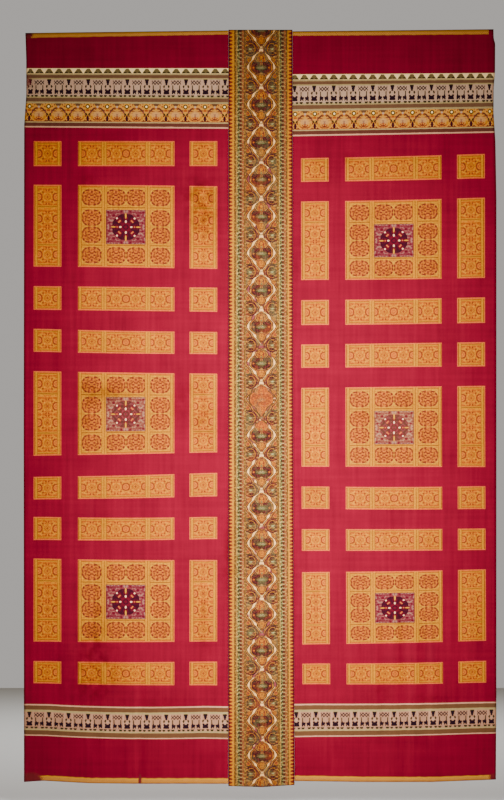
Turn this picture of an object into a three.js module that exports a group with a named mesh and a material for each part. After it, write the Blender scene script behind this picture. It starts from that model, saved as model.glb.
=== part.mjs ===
// A tall silk curtain hung flat from its top edge. Two loom-width panels are joined by one narrow patterned strip.
// Millimetres, +Z up. The front faces -Y, the origin is the middle of the strip's top edge, and the cloth hangs below it.
// Each length of cloth is one closed sheet that follows the same low ripples, with a butt seam to its neighbour.

import * as THREE from 'three';

const CLOTH_THICKNESS = 2;
const SEAM_GAP = 0.3;
const HANGING_LENGTH = 4350;

// How far each upright edge lies from the middle, by the drop below the top of the strip.
const LEFT_SELVEDGE = [
  { drop: 0, reach: -1364 },
  { drop: 175, reach: -1358 },
  { drop: 377, reach: -1358 },
  { drop: 550, reach: -1370 },
  { drop: 2313, reach: -1373 },
  { drop: 4350, reach: -1371 },
];
const LEFT_SEAM = [
  { drop: 0, reach: -189 },
  { drop: 2300, reach: -190.2 },
  { drop: 4377, reach: -190.2 },
];
const RIGHT_SEAM = [
  { drop: 0, reach: 181 },
  { drop: 2300, reach: 184 },
  { drop: 4377, reach: 193 },
];
const RIGHT_SELVEDGE = [
  { drop: 0, reach: 1343 },
  { drop: 50, reach: 1344 },
  { drop: 80, reach: 1353 },
  { drop: 240, reach: 1352 },
  { drop: 340, reach: 1344 },
  { drop: 480, reach: 1343 },
  { drop: 640, reach: 1354 },
  { drop: 980, reach: 1360 },
  { drop: 3870, reach: 1360 },
  { drop: 4350, reach: 1357 },
];

// The drop of each cut end, from the left of the cloth to its right.
const LEFT_PANEL_TOP = [
  { reach: -1373, drop: 18.5 },
  { reach: -189, drop: 4 },
];
const LEFT_PANEL_FOOT = [
  { reach: -1373, drop: 4348 },
  { reach: -1255, drop: 4340 },
  { reach: -990, drop: 4355 },
  { reach: -700, drop: 4359 },
  { reach: -189, drop: 4358 },
];
const STRIP_TOP = [
  { reach: -191, drop: 0 },
  { reach: 193, drop: 0 },
];
const STRIP_FOOT = [
  { reach: -191, drop: 4371 },
  { reach: 0, drop: 4377 },
  { reach: 193, drop: 4364 },
];
const RIGHT_PANEL_TOP = [
  { reach: 181, drop: 9 },
  { reach: 1353, drop: -3 },
];
const RIGHT_PANEL_FOOT = [
  { reach: 193, drop: 4342 },
  { reach: 571, drop: 4348 },
  { reach: 976, drop: 4348 },
  { reach: 1360, drop: 4334 },
];

// Soft upright ripples. Each has its middle at its upper end, how far it leans sideways on the way down, the half width
// at which it has faded, the drops between which it runs, and how far it stands towards the front or, below 0, the back.
const RIPPLES = [
  { middle: 536, lean: -18, halfWidth: 44, from: 3520, to: 4010, proud: 3.6 },
  { middle: 604, lean: 26, halfWidth: 40, from: 3560, to: 4180, proud: -3.2 },
  { middle: 655, lean: 20, halfWidth: 42, from: 3600, to: 4060, proud: 4.2 },
  { middle: 716, lean: -10, halfWidth: 44, from: 3480, to: 4230, proud: -4.4 },
  { middle: 771, lean: -8, halfWidth: 36, from: 3350, to: 4080, proud: 5.2 },
  { middle: 829, lean: 10, halfWidth: 38, from: 3330, to: 4200, proud: -5.4 },
  { middle: 889, lean: 4, halfWidth: 38, from: 3340, to: 4050, proud: 4.8 },
  { middle: 948, lean: 12, halfWidth: 40, from: 3380, to: 4120, proud: -4.4 },
  { middle: 1004, lean: -14, halfWidth: 42, from: 3560, to: 4080, proud: 3.4 },
  { middle: 1150, lean: 16, halfWidth: 70, from: 3000, to: 4200, proud: -3.0 },
  { middle: 420, lean: 8, halfWidth: 80, from: 2500, to: 3900, proud: 2.6 },
  { middle: 780, lean: 12, halfWidth: 60, from: 2380, to: 3200, proud: -2.4 },
  { middle: 900, lean: -10, halfWidth: 62, from: 1700, to: 2900, proud: 2.4 },
  { middle: 640, lean: 6, halfWidth: 70, from: 620, to: 2100, proud: 2.2 },
  { middle: 1120, lean: -12, halfWidth: 80, from: 400, to: 2300, proud: -2.6 },
  { middle: -700, lean: 4, halfWidth: 34, from: 3720, to: 4360, proud: -5.0 },
  { middle: -760, lean: -6, halfWidth: 60, from: 3500, to: 4330, proud: 3.2 },
  { middle: -968, lean: 10, halfWidth: 56, from: 2640, to: 4260, proud: -3.4 },
  { middle: -850, lean: -8, halfWidth: 58, from: 2500, to: 3300, proud: 2.6 },
  { middle: -1140, lean: 12, halfWidth: 70, from: 1500, to: 3900, proud: 2.8 },
  { middle: -480, lean: -10, halfWidth: 76, from: 1900, to: 4000, proud: -2.6 },
  { middle: -340, lean: 6, halfWidth: 60, from: 700, to: 2300, proud: 2.4 },
  { middle: -620, lean: 8, halfWidth: 80, from: 300, to: 1900, proud: -2.2 },
  { middle: -1000, lean: -8, halfWidth: 70, from: 250, to: 1500, proud: 2.4 },
  { middle: 20, lean: -6, halfWidth: 90, from: 2900, to: 4360, proud: 2.6 },
];
const RIPPLE_FADE = 170;

// Two long slow waves over the whole curtain, which grow from the held top edge down to the free foot.
const SLOW_WAVES = [
  { pitch: 980, lean: 0.05, start: 0.7, proud: 3.4 },
  { pitch: 1730, lean: -0.08, start: 2.1, proud: 4.2 },
];
const WAVE_AT_TOP = 0.25;

// Columns and rows are closer together where the ripples are narrow.
const LOWER_PART = 0.68;
const ROWS = [
  { to: LOWER_PART, steps: 18 },
  { to: 1, steps: 20 },
];
const EVEN_COLUMNS = [{ to: 1, steps: 24 }];
const STRIP_COLUMNS = [{ to: 1, steps: 6 }];
const RIPPLED_COLUMNS = [
  { to: 0.27, steps: 5 },
  { to: 0.76, steps: 22 },
  { to: 1, steps: 5 },
];

const CRIMSON_SILK = { color: 0xa82137, roughness: 0.62, metalness: 0 };
const PATTERNED_SILK = { color: 0xb88758, roughness: 0.68, metalness: 0 };

// Straight-line reading of a table between its rows, held level past both ends.
function readTable(table, key, value, at) {
  const last = table.length - 1;
  if (at <= table[0][key]) return table[0][value];
  if (at >= table[last][key]) return table[last][value];
  const next = table.findIndex((row) => row[key] > at);
  const before = table[next - 1];
  const share = (at - before[key]) / (table[next][key] - before[key]);
  return THREE.MathUtils.lerp(before[value], table[next][value], share);
}

// Shares from 0 to 1 along one side of a sheet, evenly stepped inside each section.
function gridShares(sections) {
  const shares = [0];
  for (const section of sections) {
    const start = shares[shares.length - 1];
    for (let step = 1; step <= section.steps; step += 1) {
      shares.push(THREE.MathUtils.lerp(start, section.to, step / section.steps));
    }
  }
  return shares;
}

// One ripple is a bell across the cloth, faded in below its upper end and out above its lower end.
function rippleAt(ripple, x, drop) {
  const along = THREE.MathUtils.clamp((drop - ripple.from) / (ripple.to - ripple.from), 0, 1);
  const across = (x - ripple.middle - ripple.lean * along) / ripple.halfWidth;
  if (Math.abs(across) >= 1) return 0;
  const bell = (1 - across * across) ** 2;
  const rise = THREE.MathUtils.smoothstep(drop, ripple.from - RIPPLE_FADE, ripple.from + RIPPLE_FADE);
  const fall = 1 - THREE.MathUtils.smoothstep(drop, ripple.to - RIPPLE_FADE, ripple.to + RIPPLE_FADE);
  return ripple.proud * bell * rise * fall;
}

// How far the cloth stands towards the front at one place: the slow waves and every ripple there.
function proudAt(x, drop) {
  const growth = THREE.MathUtils.lerp(WAVE_AT_TOP, 1, THREE.MathUtils.clamp(drop / HANGING_LENGTH, 0, 1));
  const waves = SLOW_WAVES.reduce((sum, wave) => {
    const turn = (2 * Math.PI * (x + wave.lean * drop)) / wave.pitch + wave.start;
    return sum + wave.proud * growth * Math.sin(turn);
  }, 0);
  return RIPPLES.reduce((sum, ripple) => sum + rippleAt(ripple, x, drop), waves);
}

// The middle of the cloth's thickness at the shares across and down a sheet.
function clothPoint(sheet, across, down) {
  const roughDrop = down * HANGING_LENGTH;
  const roughX = THREE.MathUtils.lerp(sheet.leftEdge(roughDrop), sheet.rightEdge(roughDrop), across);
  const topDrop = readTable(sheet.top, 'reach', 'drop', roughX);
  const footDrop = readTable(sheet.foot, 'reach', 'drop', roughX);
  const drop = THREE.MathUtils.lerp(topDrop, footDrop, down);
  const x = THREE.MathUtils.lerp(sheet.leftEdge(drop), sheet.rightEdge(drop), across);
  return new THREE.Vector3(x, -proudAt(x, drop), -drop);
}

// A closed sheet: a front and a back grid half the thickness either side of the middle, joined by a rim.
function sheetGeometry(sheet) {
  const across = gridShares(sheet.columns);
  const down = gridShares(ROWS);
  const layer = across.length * down.length;
  const positions = [];
  for (const side of [-1, 1]) {
    for (const rowShare of down) {
      for (const columnShare of across) {
        const point = clothPoint(sheet, columnShare, rowShare);
        positions.push(point.x, point.y + (side * CLOTH_THICKNESS) / 2, point.z);
      }
    }
  }

  const cell = (row, column) => row * across.length + column;
  const lastRow = down.length - 1;
  const lastColumn = across.length - 1;
  const faces = [];
  for (let row = 0; row < lastRow; row += 1) {
    for (let column = 0; column < lastColumn; column += 1) {
      const topLeft = cell(row, column);
      const topRight = cell(row, column + 1);
      const lowLeft = cell(row + 1, column);
      const lowRight = cell(row + 1, column + 1);
      faces.push(lowLeft, lowRight, topRight, lowLeft, topRight, topLeft);
      faces.push(layer + topRight, layer + lowRight, layer + lowLeft);
      faces.push(layer + topLeft, layer + topRight, layer + lowLeft);
    }
  }

  const outline = [];
  for (let column = 0; column < lastColumn; column += 1) outline.push(cell(lastRow, column));
  for (let row = lastRow; row > 0; row -= 1) outline.push(cell(row, lastColumn));
  for (let column = lastColumn; column > 0; column -= 1) outline.push(cell(0, column));
  for (let row = 0; row < lastRow; row += 1) outline.push(cell(row, 0));
  outline.forEach((start, step) => {
    const end = outline[(step + 1) % outline.length];
    faces.push(end, start, layer + start, end, layer + start, layer + end);
  });

  const geometry = new THREE.BufferGeometry();
  geometry.setAttribute('position', new THREE.Float32BufferAttribute(positions, 3));
  geometry.setIndex(faces);
  geometry.computeVertexNormals();
  return geometry;
}

// An upright edge from its table, moved sideways by part of the seam gap.
function uprightEdge(table, shift = 0) {
  return (drop) => readTable(table, 'drop', 'reach', drop) + shift;
}

const SHEETS = [
  {
    name: 'panel_left',
    leftEdge: uprightEdge(LEFT_SELVEDGE),
    rightEdge: uprightEdge(LEFT_SEAM, -SEAM_GAP / 2),
    top: LEFT_PANEL_TOP,
    foot: LEFT_PANEL_FOOT,
    columns: EVEN_COLUMNS,
    finish: CRIMSON_SILK,
  },
  {
    name: 'centre_strip',
    leftEdge: uprightEdge(LEFT_SEAM, SEAM_GAP / 2),
    rightEdge: uprightEdge(RIGHT_SEAM, -SEAM_GAP / 2),
    top: STRIP_TOP,
    foot: STRIP_FOOT,
    columns: STRIP_COLUMNS,
    finish: PATTERNED_SILK,
  },
  {
    name: 'panel_right',
    leftEdge: uprightEdge(RIGHT_SEAM, SEAM_GAP / 2),
    rightEdge: uprightEdge(RIGHT_SELVEDGE),
    top: RIGHT_PANEL_TOP,
    foot: RIGHT_PANEL_FOOT,
    columns: RIPPLED_COLUMNS,
    finish: CRIMSON_SILK,
  },
];

const group = new THREE.Group();
for (const sheet of SHEETS) {
  const mesh = new THREE.Mesh(sheetGeometry(sheet), new THREE.MeshStandardMaterial(sheet.finish));
  mesh.name = sheet.name;
  group.add(mesh);
}

export default group;
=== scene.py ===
"""A tall silk curtain, hung flat and seen face on: two crimson panels joined by one patterned strip.

The frame gives the three sheets. Each is remade here as thin woven cloth on the same ripples, with its
woven blocks, bands and stripes placed where they hang. Lengths in the tables are millimetres, and meshes
are made in metres.
"""

from __future__ import annotations

import logging
import math
from dataclasses import dataclass
from enum import Enum
from typing import Any, Optional, Sequence, Union

import bpy
import numpy as np
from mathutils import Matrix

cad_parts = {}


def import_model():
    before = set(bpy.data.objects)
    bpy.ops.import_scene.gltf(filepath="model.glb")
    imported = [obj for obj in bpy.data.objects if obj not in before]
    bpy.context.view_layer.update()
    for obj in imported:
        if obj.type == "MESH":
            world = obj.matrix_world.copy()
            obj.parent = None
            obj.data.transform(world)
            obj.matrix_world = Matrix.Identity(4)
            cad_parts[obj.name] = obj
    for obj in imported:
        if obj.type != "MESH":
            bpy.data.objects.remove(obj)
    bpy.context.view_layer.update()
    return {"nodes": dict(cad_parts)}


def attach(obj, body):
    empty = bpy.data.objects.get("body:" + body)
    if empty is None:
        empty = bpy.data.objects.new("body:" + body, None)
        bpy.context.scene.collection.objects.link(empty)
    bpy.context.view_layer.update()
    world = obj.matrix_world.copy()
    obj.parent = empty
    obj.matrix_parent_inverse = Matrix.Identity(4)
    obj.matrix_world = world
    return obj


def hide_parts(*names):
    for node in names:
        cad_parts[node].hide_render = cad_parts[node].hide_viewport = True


LOG = logging.getLogger("silk_curtain")

MM = 0.001

CLOTH_THICKNESS = 1.2
HANGING_LENGTH = 4350.0
GRID_STEP = 17.0
SEAM_GAP = 0.5

# The smallest distance over which one colour turns into the next at the edge of a woven figure.
SOFT_EDGE = 1.4

Array = np.ndarray
Pair = tuple[float, float]
Triple = tuple[float, float, float]
Colour = tuple[float, float, float, float]
Socket = bpy.types.NodeSocket


class Dye(Enum):
    """The dyed silks, as screen colours from 0 to 255."""

    CRIMSON = (113, 5, 31)
    DEEP_CRIMSON = (72, 3, 16)
    WORN_RED = (101, 25, 30)
    ROSE = (194, 87, 37)
    RUST = (127, 53, 20)
    BRICK = (95, 28, 23)
    AMBER = (150, 74, 11)
    GOLD = (176, 89, 4)
    BRIGHT_GOLD = (178, 110, 6)
    PALE_GOLD = (188, 128, 22)
    OLIVE_BROWN = (108, 59, 18)
    ORANGE = (152, 68, 22)
    FOOT_GROUND = (160, 114, 88)
    STRIPE_GOLD = (196, 130, 52)
    CREAM = (247, 208, 142)
    TAN = (155, 131, 85)
    BAND_CREAM = (174, 138, 111)
    FOOT_CREAM = (190, 138, 107)
    UMBER = (98, 65, 43)
    FOOT_UMBER = (95, 61, 37)
    DARK_UMBER = (85, 42, 31)
    INK = (31, 11, 20)
    OLIVE_INK = (45, 35, 16)
    OLIVE_GREEN = (98, 80, 44)
    SAGE = (88, 88, 52)
    STRIP_TAN = (124, 81, 46)
    STRIP_BROWN = (90, 57, 23)
    STRIP_CREAM = (178, 134, 52)
    STRAP = (222, 165, 101)
    STRIP_GOLD = (158, 92, 16)
    STRIP_PINK = (134, 78, 46)
    LEAF_CREAM = (158, 140, 88)
    PLUM = (52, 6, 22)
    WINE = (88, 8, 26)
    MAUVE = (118, 52, 54)
    FADED_PLUM = (80, 44, 32)
    FADED_WINE = (96, 26, 30)
    PEARL = (236, 180, 140)
    STRIP_WINE = (50, 14, 18)
    UMBER_GROUND = (140, 88, 62)
    CORAL = (178, 84, 40)

    @property
    def linear(self) -> Colour:
        """The colour as the linear values that a shader reads."""
        scaled = [channel / 255.0 for channel in self.value]
        red, green, blue = [c / 12.92 if c <= 0.04045 else ((c + 0.055) / 1.055) ** 2.4 for c in scaled]
        return (red, green, blue, 1.0)


# How the cloth hangs


@dataclass(frozen=True)
class Ripple:
    """One soft upright ripple.

    It has its middle at its upper end, how far it leans sideways on the way down, the half width at which
    it has faded, the drops between which it runs, and how far it stands towards the front or, below 0, the
    back.
    """

    middle: float
    lean: float
    half_width: float
    start: float
    end: float
    proud: float

    def height(self, x: Array, drop: Array, fade: float) -> Array:
        """A bell (1 - a^2)^2 across the cloth, times a smooth rise at its upper end and a fall at its lower.

        Args:
            x: places across the curtain.
            drop: places below the top of the strip.
            fade: half the length over which each end fades.

        Returns:
            How far the cloth stands towards the front at each place.
        """
        along = np.clip((drop - self.start) / (self.end - self.start), 0.0, 1.0)
        across = np.clip(np.abs(x - self.middle - self.lean * along) / self.half_width, 0.0, 1.0)
        rise = smooth(drop, self.start - fade, self.start + fade)
        fall = 1.0 - smooth(drop, self.end - fade, self.end + fade)
        return self.proud * (1.0 - across**2) ** 2 * rise * fall


@dataclass(frozen=True)
class SlowWave:
    """A long wave over the whole curtain, which leans as it goes down."""

    pitch: float
    lean: float
    start: float
    proud: float


def smooth(value: Array, low: float, high: float) -> Array:
    """The cubic 3s^2 - 2s^3 from 0 at low to 1 at high."""
    share = np.clip((value - low) / (high - low), 0.0, 1.0)
    return share * share * (3.0 - 2.0 * share)


MAIN_RIPPLES = (
    Ripple(536, -18, 44, 3520, 4010, 3.6),
    Ripple(604, 26, 40, 3560, 4180, -3.2),
    Ripple(655, 20, 42, 3600, 4060, 4.2),
    Ripple(716, -10, 44, 3480, 4230, -4.4),
    Ripple(771, -8, 36, 3350, 4080, 5.2),
    Ripple(829, 10, 38, 3330, 4200, -5.4),
    Ripple(889, 4, 38, 3340, 4050, 4.8),
    Ripple(948, 12, 40, 3380, 4120, -4.4),
    Ripple(1004, -14, 42, 3560, 4080, 3.4),
    Ripple(1150, 16, 70, 3000, 4200, -3.0),
    Ripple(420, 8, 80, 2500, 3900, 2.6),
    Ripple(780, 12, 60, 2380, 3200, -2.4),
    Ripple(900, -10, 62, 1700, 2900, 2.4),
    Ripple(640, 6, 70, 620, 2100, 2.2),
    Ripple(1120, -12, 80, 400, 2300, -2.6),
    Ripple(-700, 4, 34, 3720, 4360, -5.0),
    Ripple(-760, -6, 60, 3500, 4330, 3.2),
    Ripple(-968, 10, 56, 2640, 4260, -3.4),
    Ripple(-850, -8, 58, 2500, 3300, 2.6),
    Ripple(-1140, 12, 70, 1500, 3900, 2.8),
    Ripple(-480, -10, 76, 1900, 4000, -2.6),
    Ripple(-340, 6, 60, 700, 2300, 2.4),
    Ripple(-620, 8, 80, 300, 1900, -2.2),
    Ripple(-1000, -8, 70, 250, 1500, 2.4),
    Ripple(20, -6, 90, 2900, 4360, 2.6),
)
MAIN_FADE = 170.0

# Narrow creases that are too fine for the solids.
FINE_CREASES = (
    Ripple(829, 2, 17, 3480, 3760, -2.2),
    Ripple(763, 3, 15, 3500, 3740, -1.6),
    Ripple(916, -2, 16, 3500, 3730, -1.5),
    Ripple(957, 4, 15, 3490, 3720, -1.7),
    Ripple(556, 34, 20, 3780, 4000, -2.0),
    Ripple(640, 22, 18, 3790, 4010, -2.2),
    Ripple(678, 10, 18, 3760, 3990, -1.8),
    Ripple(858, -12, 20, 3770, 3990, -2.0),
    Ripple(905, -22, 18, 3780, 4000, -1.8),
    Ripple(965, -26, 18, 3790, 3990, -1.6),
    Ripple(-702, 2, 14, 4080, 4370, -2.4),
    Ripple(-968, 4, 18, 2720, 2980, -1.4),
    Ripple(-850, -4, 16, 2700, 2990, -1.2),
    Ripple(-756, 3, 15, 2710, 2980, -1.1),
)
FINE_FADE = 45.0

SLOW_WAVES = (SlowWave(980, 0.05, 0.7, 3.4), SlowWave(1730, -0.08, 2.1, 4.2))
WAVE_AT_TOP = 0.25


class Hang:
    """How the cloth stands towards the front, the same for every sheet so that their seams meet."""

    def proud(self, x: Array, drop: Array) -> Array:
        """The slow waves, which grow from the held top edge to the free foot, plus every ripple and crease.

        Args:
            x: places across the curtain.
            drop: places below the top of the strip.

        Returns:
            How far the middle of the cloth stands towards the front.
        """
        growth = WAVE_AT_TOP + (1.0 - WAVE_AT_TOP) * np.clip(drop / HANGING_LENGTH, 0.0, 1.0)
        total = np.zeros(np.broadcast(x, drop).shape)
        for wave in SLOW_WAVES:
            turn = 2.0 * math.pi * (x + wave.lean * drop) / wave.pitch + wave.start
            total = total + wave.proud * growth * np.sin(turn)
        for ripple in MAIN_RIPPLES:
            total = total + ripple.height(x, drop, MAIN_FADE)
        for crease in FINE_CREASES:
            total = total + crease.height(x, drop, FINE_FADE)
        return total


@dataclass(frozen=True)
class Edge:
    """An edge of cloth as a table of two columns, read in straight lines and held level past both ends."""

    at: tuple[float, ...]
    value: tuple[float, ...]

    def read(self, place: Union[float, Array]) -> Array:
        """The value at each place along the edge."""
        return np.interp(place, self.at, self.value)


# How far each upright edge lies from the middle, by drop, and the drop of each cut end, by reach.
LEFT_SELVEDGE = Edge((0, 175, 377, 550, 2313, 4350), (-1364, -1358, -1358, -1370, -1373, -1371))
LEFT_SEAM = Edge((0, 2300, 4377), (-189, -190.2, -190.2))
RIGHT_SEAM = Edge((0, 2300, 4377), (181, 184, 193))
RIGHT_SELVEDGE = Edge(
    (0, 50, 80, 240, 340, 480, 640, 980, 3870, 4350),
    (1343, 1344, 1353, 1352, 1344, 1343, 1354, 1360, 1360, 1357),
)
LEFT_PANEL_TOP = Edge((-1373, -189), (18.5, 4))
LEFT_PANEL_FOOT = Edge((-1373, -1255, -990, -700, -189), (4348, 4340, 4355, 4359, 4358))
STRIP_FOOT = Edge((-191, 0, 193), (4371, 4377, 4364))
RIGHT_PANEL_TOP = Edge((181, 1353), (9, -3))
RIGHT_PANEL_FOOT = Edge((193, 571, 976, 1360), (4342, 4348, 4348, 4334))


# The woven layout


class Band(Enum):
    """What is woven across a panel between two of its lines."""

    PLAIN = "plain"
    END_STRIPE = "end_stripe"
    TOP_BORDER = "top_border"
    SHORT_ROW = "short_row"
    TALL_ROW = "tall_row"
    FOOT_BORDER = "foot_border"


class Region(Enum):
    """The kinds of woven surface, each with a finish of its own."""

    GROUND = 0
    END_STRIPE = 1
    TOP_BORDER = 2
    FOOT_BORDER = 3
    SMALL_BLOCK = 4
    NARROW_BLOCK = 5
    SHORT_BLOCK = 6
    TALL_BLOCK = 7
    DARK_SQUARE = 8
    STRIP_EDGE = 9
    STRIP_FIELD = 10


# Nominal sizes of what is woven, to which every finish is drawn.
BLOCK_TALL = 474.0
BLOCK_SHORT = 137.0
BLOCK_WIDE = 566.0
BLOCK_NARROW = 166.0
BLOCK_INSET = 3.0
SQUARE_WIDE = 230.0
SQUARE_TALL = 199.0
SQUARE_FROM_SIDE = 169.0
SQUARE_FROM_TOP = 142.0
TOP_BORDER_TALL = 342.0
FOOT_BORDER_TALL = 187.0
END_STRIPE_TALL = 32.0

NOMINAL_TALL = {
    Band.END_STRIPE: END_STRIPE_TALL,
    Band.TOP_BORDER: TOP_BORDER_TALL,
    Band.SHORT_ROW: BLOCK_SHORT,
    Band.TALL_ROW: BLOCK_TALL,
    Band.FOOT_BORDER: FOOT_BORDER_TALL,
}


@dataclass(frozen=True)
class WovenRow:
    """One band across a panel.

    outer and inner are the drops of its upper edge in the middle of the outer and of the inner narrow column,
    outer_tall and inner_tall its heights there, and sag how far its middle hangs below the line between them.
    """

    band: Band
    outer: float
    inner: float
    outer_tall: float
    inner_tall: float
    sag: float = 0.0


LEFT_ROWS = (
    WovenRow(Band.END_STRIPE, 16.8, 5.8, 29.5, 24.9),
    WovenRow(Band.TOP_BORDER, 222.5, 222.5, 342.2, 348.5),
    WovenRow(Band.SHORT_ROW, 643.9, 643.9, 143.9, 143.9),
    WovenRow(Band.TALL_ROW, 896.5, 904, 472.8, 477.4, -2),
    WovenRow(Band.SHORT_ROW, 1482.6, 1490.1, 135.8, 139.3),
    WovenRow(Band.SHORT_ROW, 1730, 1745.6, 131.8, 128.3, 3),
    WovenRow(Band.TALL_ROW, 1974.4, 1987.2, 486.1, 456.6, 1),
    WovenRow(Band.SHORT_ROW, 2583.1, 2562.9, 130.1, 134.7, 3),
    WovenRow(Band.SHORT_ROW, 2816, 2816, 132.4, 127.7, 5),
    WovenRow(Band.TALL_ROW, 3057, 3064.6, 478.6, 471.1, 4),
    WovenRow(Band.SHORT_ROW, 3648.9, 3651.8, 128.3, 136.4, 5),
    WovenRow(Band.FOOT_BORDER, 3898, 3909, 183.2, 187.9, 10),
    WovenRow(Band.END_STRIPE, 4307.3, 4324, 32.4, 34.1, 10),
)
RIGHT_ROWS = (
    WovenRow(Band.END_STRIPE, -1.7, 8.1, 30.1, 27.7),
    WovenRow(Band.TOP_BORDER, 250.9, 257.2, 346.2, 356),
    WovenRow(Band.SHORT_ROW, 719.6, 741, 139.9, 137, 2),
    WovenRow(Band.TALL_ROW, 972.2, 991.3, 462.4, 454.3, 3),
    WovenRow(Band.SHORT_ROW, 1547.9, 1561.8, 146.8, 143.9, 2),
    WovenRow(Band.SHORT_ROW, 1806.3, 1818.4, 139.3, 134.7),
    WovenRow(Band.TALL_ROW, 2058.8, 2069.2, 468.2, 456),
    WovenRow(Band.SHORT_ROW, 2638.6, 2639.7, 131.2, 128.9, 4),
    WovenRow(Band.SHORT_ROW, 2883.1, 2886, 123.7, 125.4, 2),
    WovenRow(Band.TALL_ROW, 3120, 3133.9, 412.7, 417.3, 3),
    WovenRow(Band.SHORT_ROW, 3648.9, 3662.8, 125.4, 119.1, 5),
    WovenRow(Band.FOOT_BORDER, 3885.9, 3895.1, 183.8, 190.7, 4),
    WovenRow(Band.END_STRIPE, 4308.4, 4310.7, 30.1, 32.9, 7),
)


@dataclass(frozen=True)
class Columns:
    """Where a panel's columns of blocks start, measured from its seam."""

    inner: float
    wide: float
    outer: float
    stripe_end: float


LEFT_COLUMNS = Columns(inner=61, wide=308.5, outer=962, stripe_end=1166)
RIGHT_COLUMNS = Columns(inner=45, wide=300, outer=947, stripe_end=1138)

OUTER_STATION = 1045.0
INNER_STATION = 140.0


@dataclass(frozen=True)
class Blemish:
    """A soft oval patch: its middle, its half sizes and how strong it is there."""

    x: float
    drop: float
    half_wide: float
    half_tall: float
    strength: float

    def over(self, x: Array, drop: Array) -> Array:
        """The bell exp(-d^2) of the oval distance d from its middle."""
        distance = ((x - self.x) / self.half_wide) ** 2 + ((drop - self.drop) / self.half_tall) ** 2
        return self.strength * np.exp(-distance)


STAINS = (
    Blemish(-322, 1000, 70, 150, 0.85),
    Blemish(-380, 1120, 60, 90, 0.6),
    Blemish(-1000, 880, 80, 50, 0.5),
    Blemish(-900, 650, 120, 60, 0.3),
    Blemish(-930, 2085, 140, 50, 0.9),
    Blemish(-850, 2130, 70, 40, 0.6),
    Blemish(-400, 960, 70, 90, 0.6),
    Blemish(-290, 1150, 40, 120, 0.5),
    Blemish(-470, 2180, 60, 110, 0.5),
    Blemish(-330, 2280, 60, 160, 0.65),
    Blemish(-380, 2060, 70, 60, 0.4),
    Blemish(-1010, 2230, 50, 160, 0.4),
    Blemish(-960, 3480, 60, 200, 0.7),
    Blemish(-990, 3800, 100, 90, 0.6),
    Blemish(-880, 3700, 90, 140, 0.55),
    Blemish(-1040, 3640, 60, 110, 0.5),
    Blemish(-330, 3420, 50, 260, 0.5),
    Blemish(-180, 3060, 40, 240, 0.75),
    Blemish(-560, 3900, 120, 60, 0.35),
    Blemish(600, 1140, 90, 120, 0.4),
    Blemish(760, 1420, 80, 50, 0.45),
    Blemish(1010, 1350, 60, 50, 0.4),
    Blemish(620, 2240, 90, 60, 0.5),
    Blemish(830, 2170, 70, 60, 0.4),
    Blemish(500, 760, 60, 50, 0.45),
    Blemish(700, 3830, 70, 50, 0.4),
    Blemish(980, 3870, 90, 40, 0.45),
    Blemish(300, 2700, 60, 120, 0.3),
    Blemish(-60, 2900, 60, 160, 0.4),
    Blemish(-90, 950, 60, 140, 0.4),
    Blemish(0, 1900, 90, 120, 0.3),
    Blemish(-250, 400, 50, 80, 0.4),
)
WORN_PATCHES = (
    Blemish(-1350, 30, 34, 26, 1.0),
    Blemish(-1350, 300, 40, 60, 0.55),
    Blemish(-1330, 4330, 70, 40, 1.0),
    Blemish(-701, 4340, 9, 40, 1.0),
    Blemish(1345, 4320, 40, 30, 0.7),
    Blemish(1335, 8, 16, 30, 0.6),
)


def patch_over(patches: Sequence[Blemish], x: Array, drop: Array) -> Array:
    """The patches laid over one another, kept between 0 and 1."""
    total = np.zeros(x.shape)
    for patch in patches:
        total = total + patch.over(x, drop)
    return np.clip(total, 0.0, 1.0)


# Writing node trees


Number = Union["Field", float]
Stops = Sequence[tuple[float, Union[Dye, Colour]]]


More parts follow.
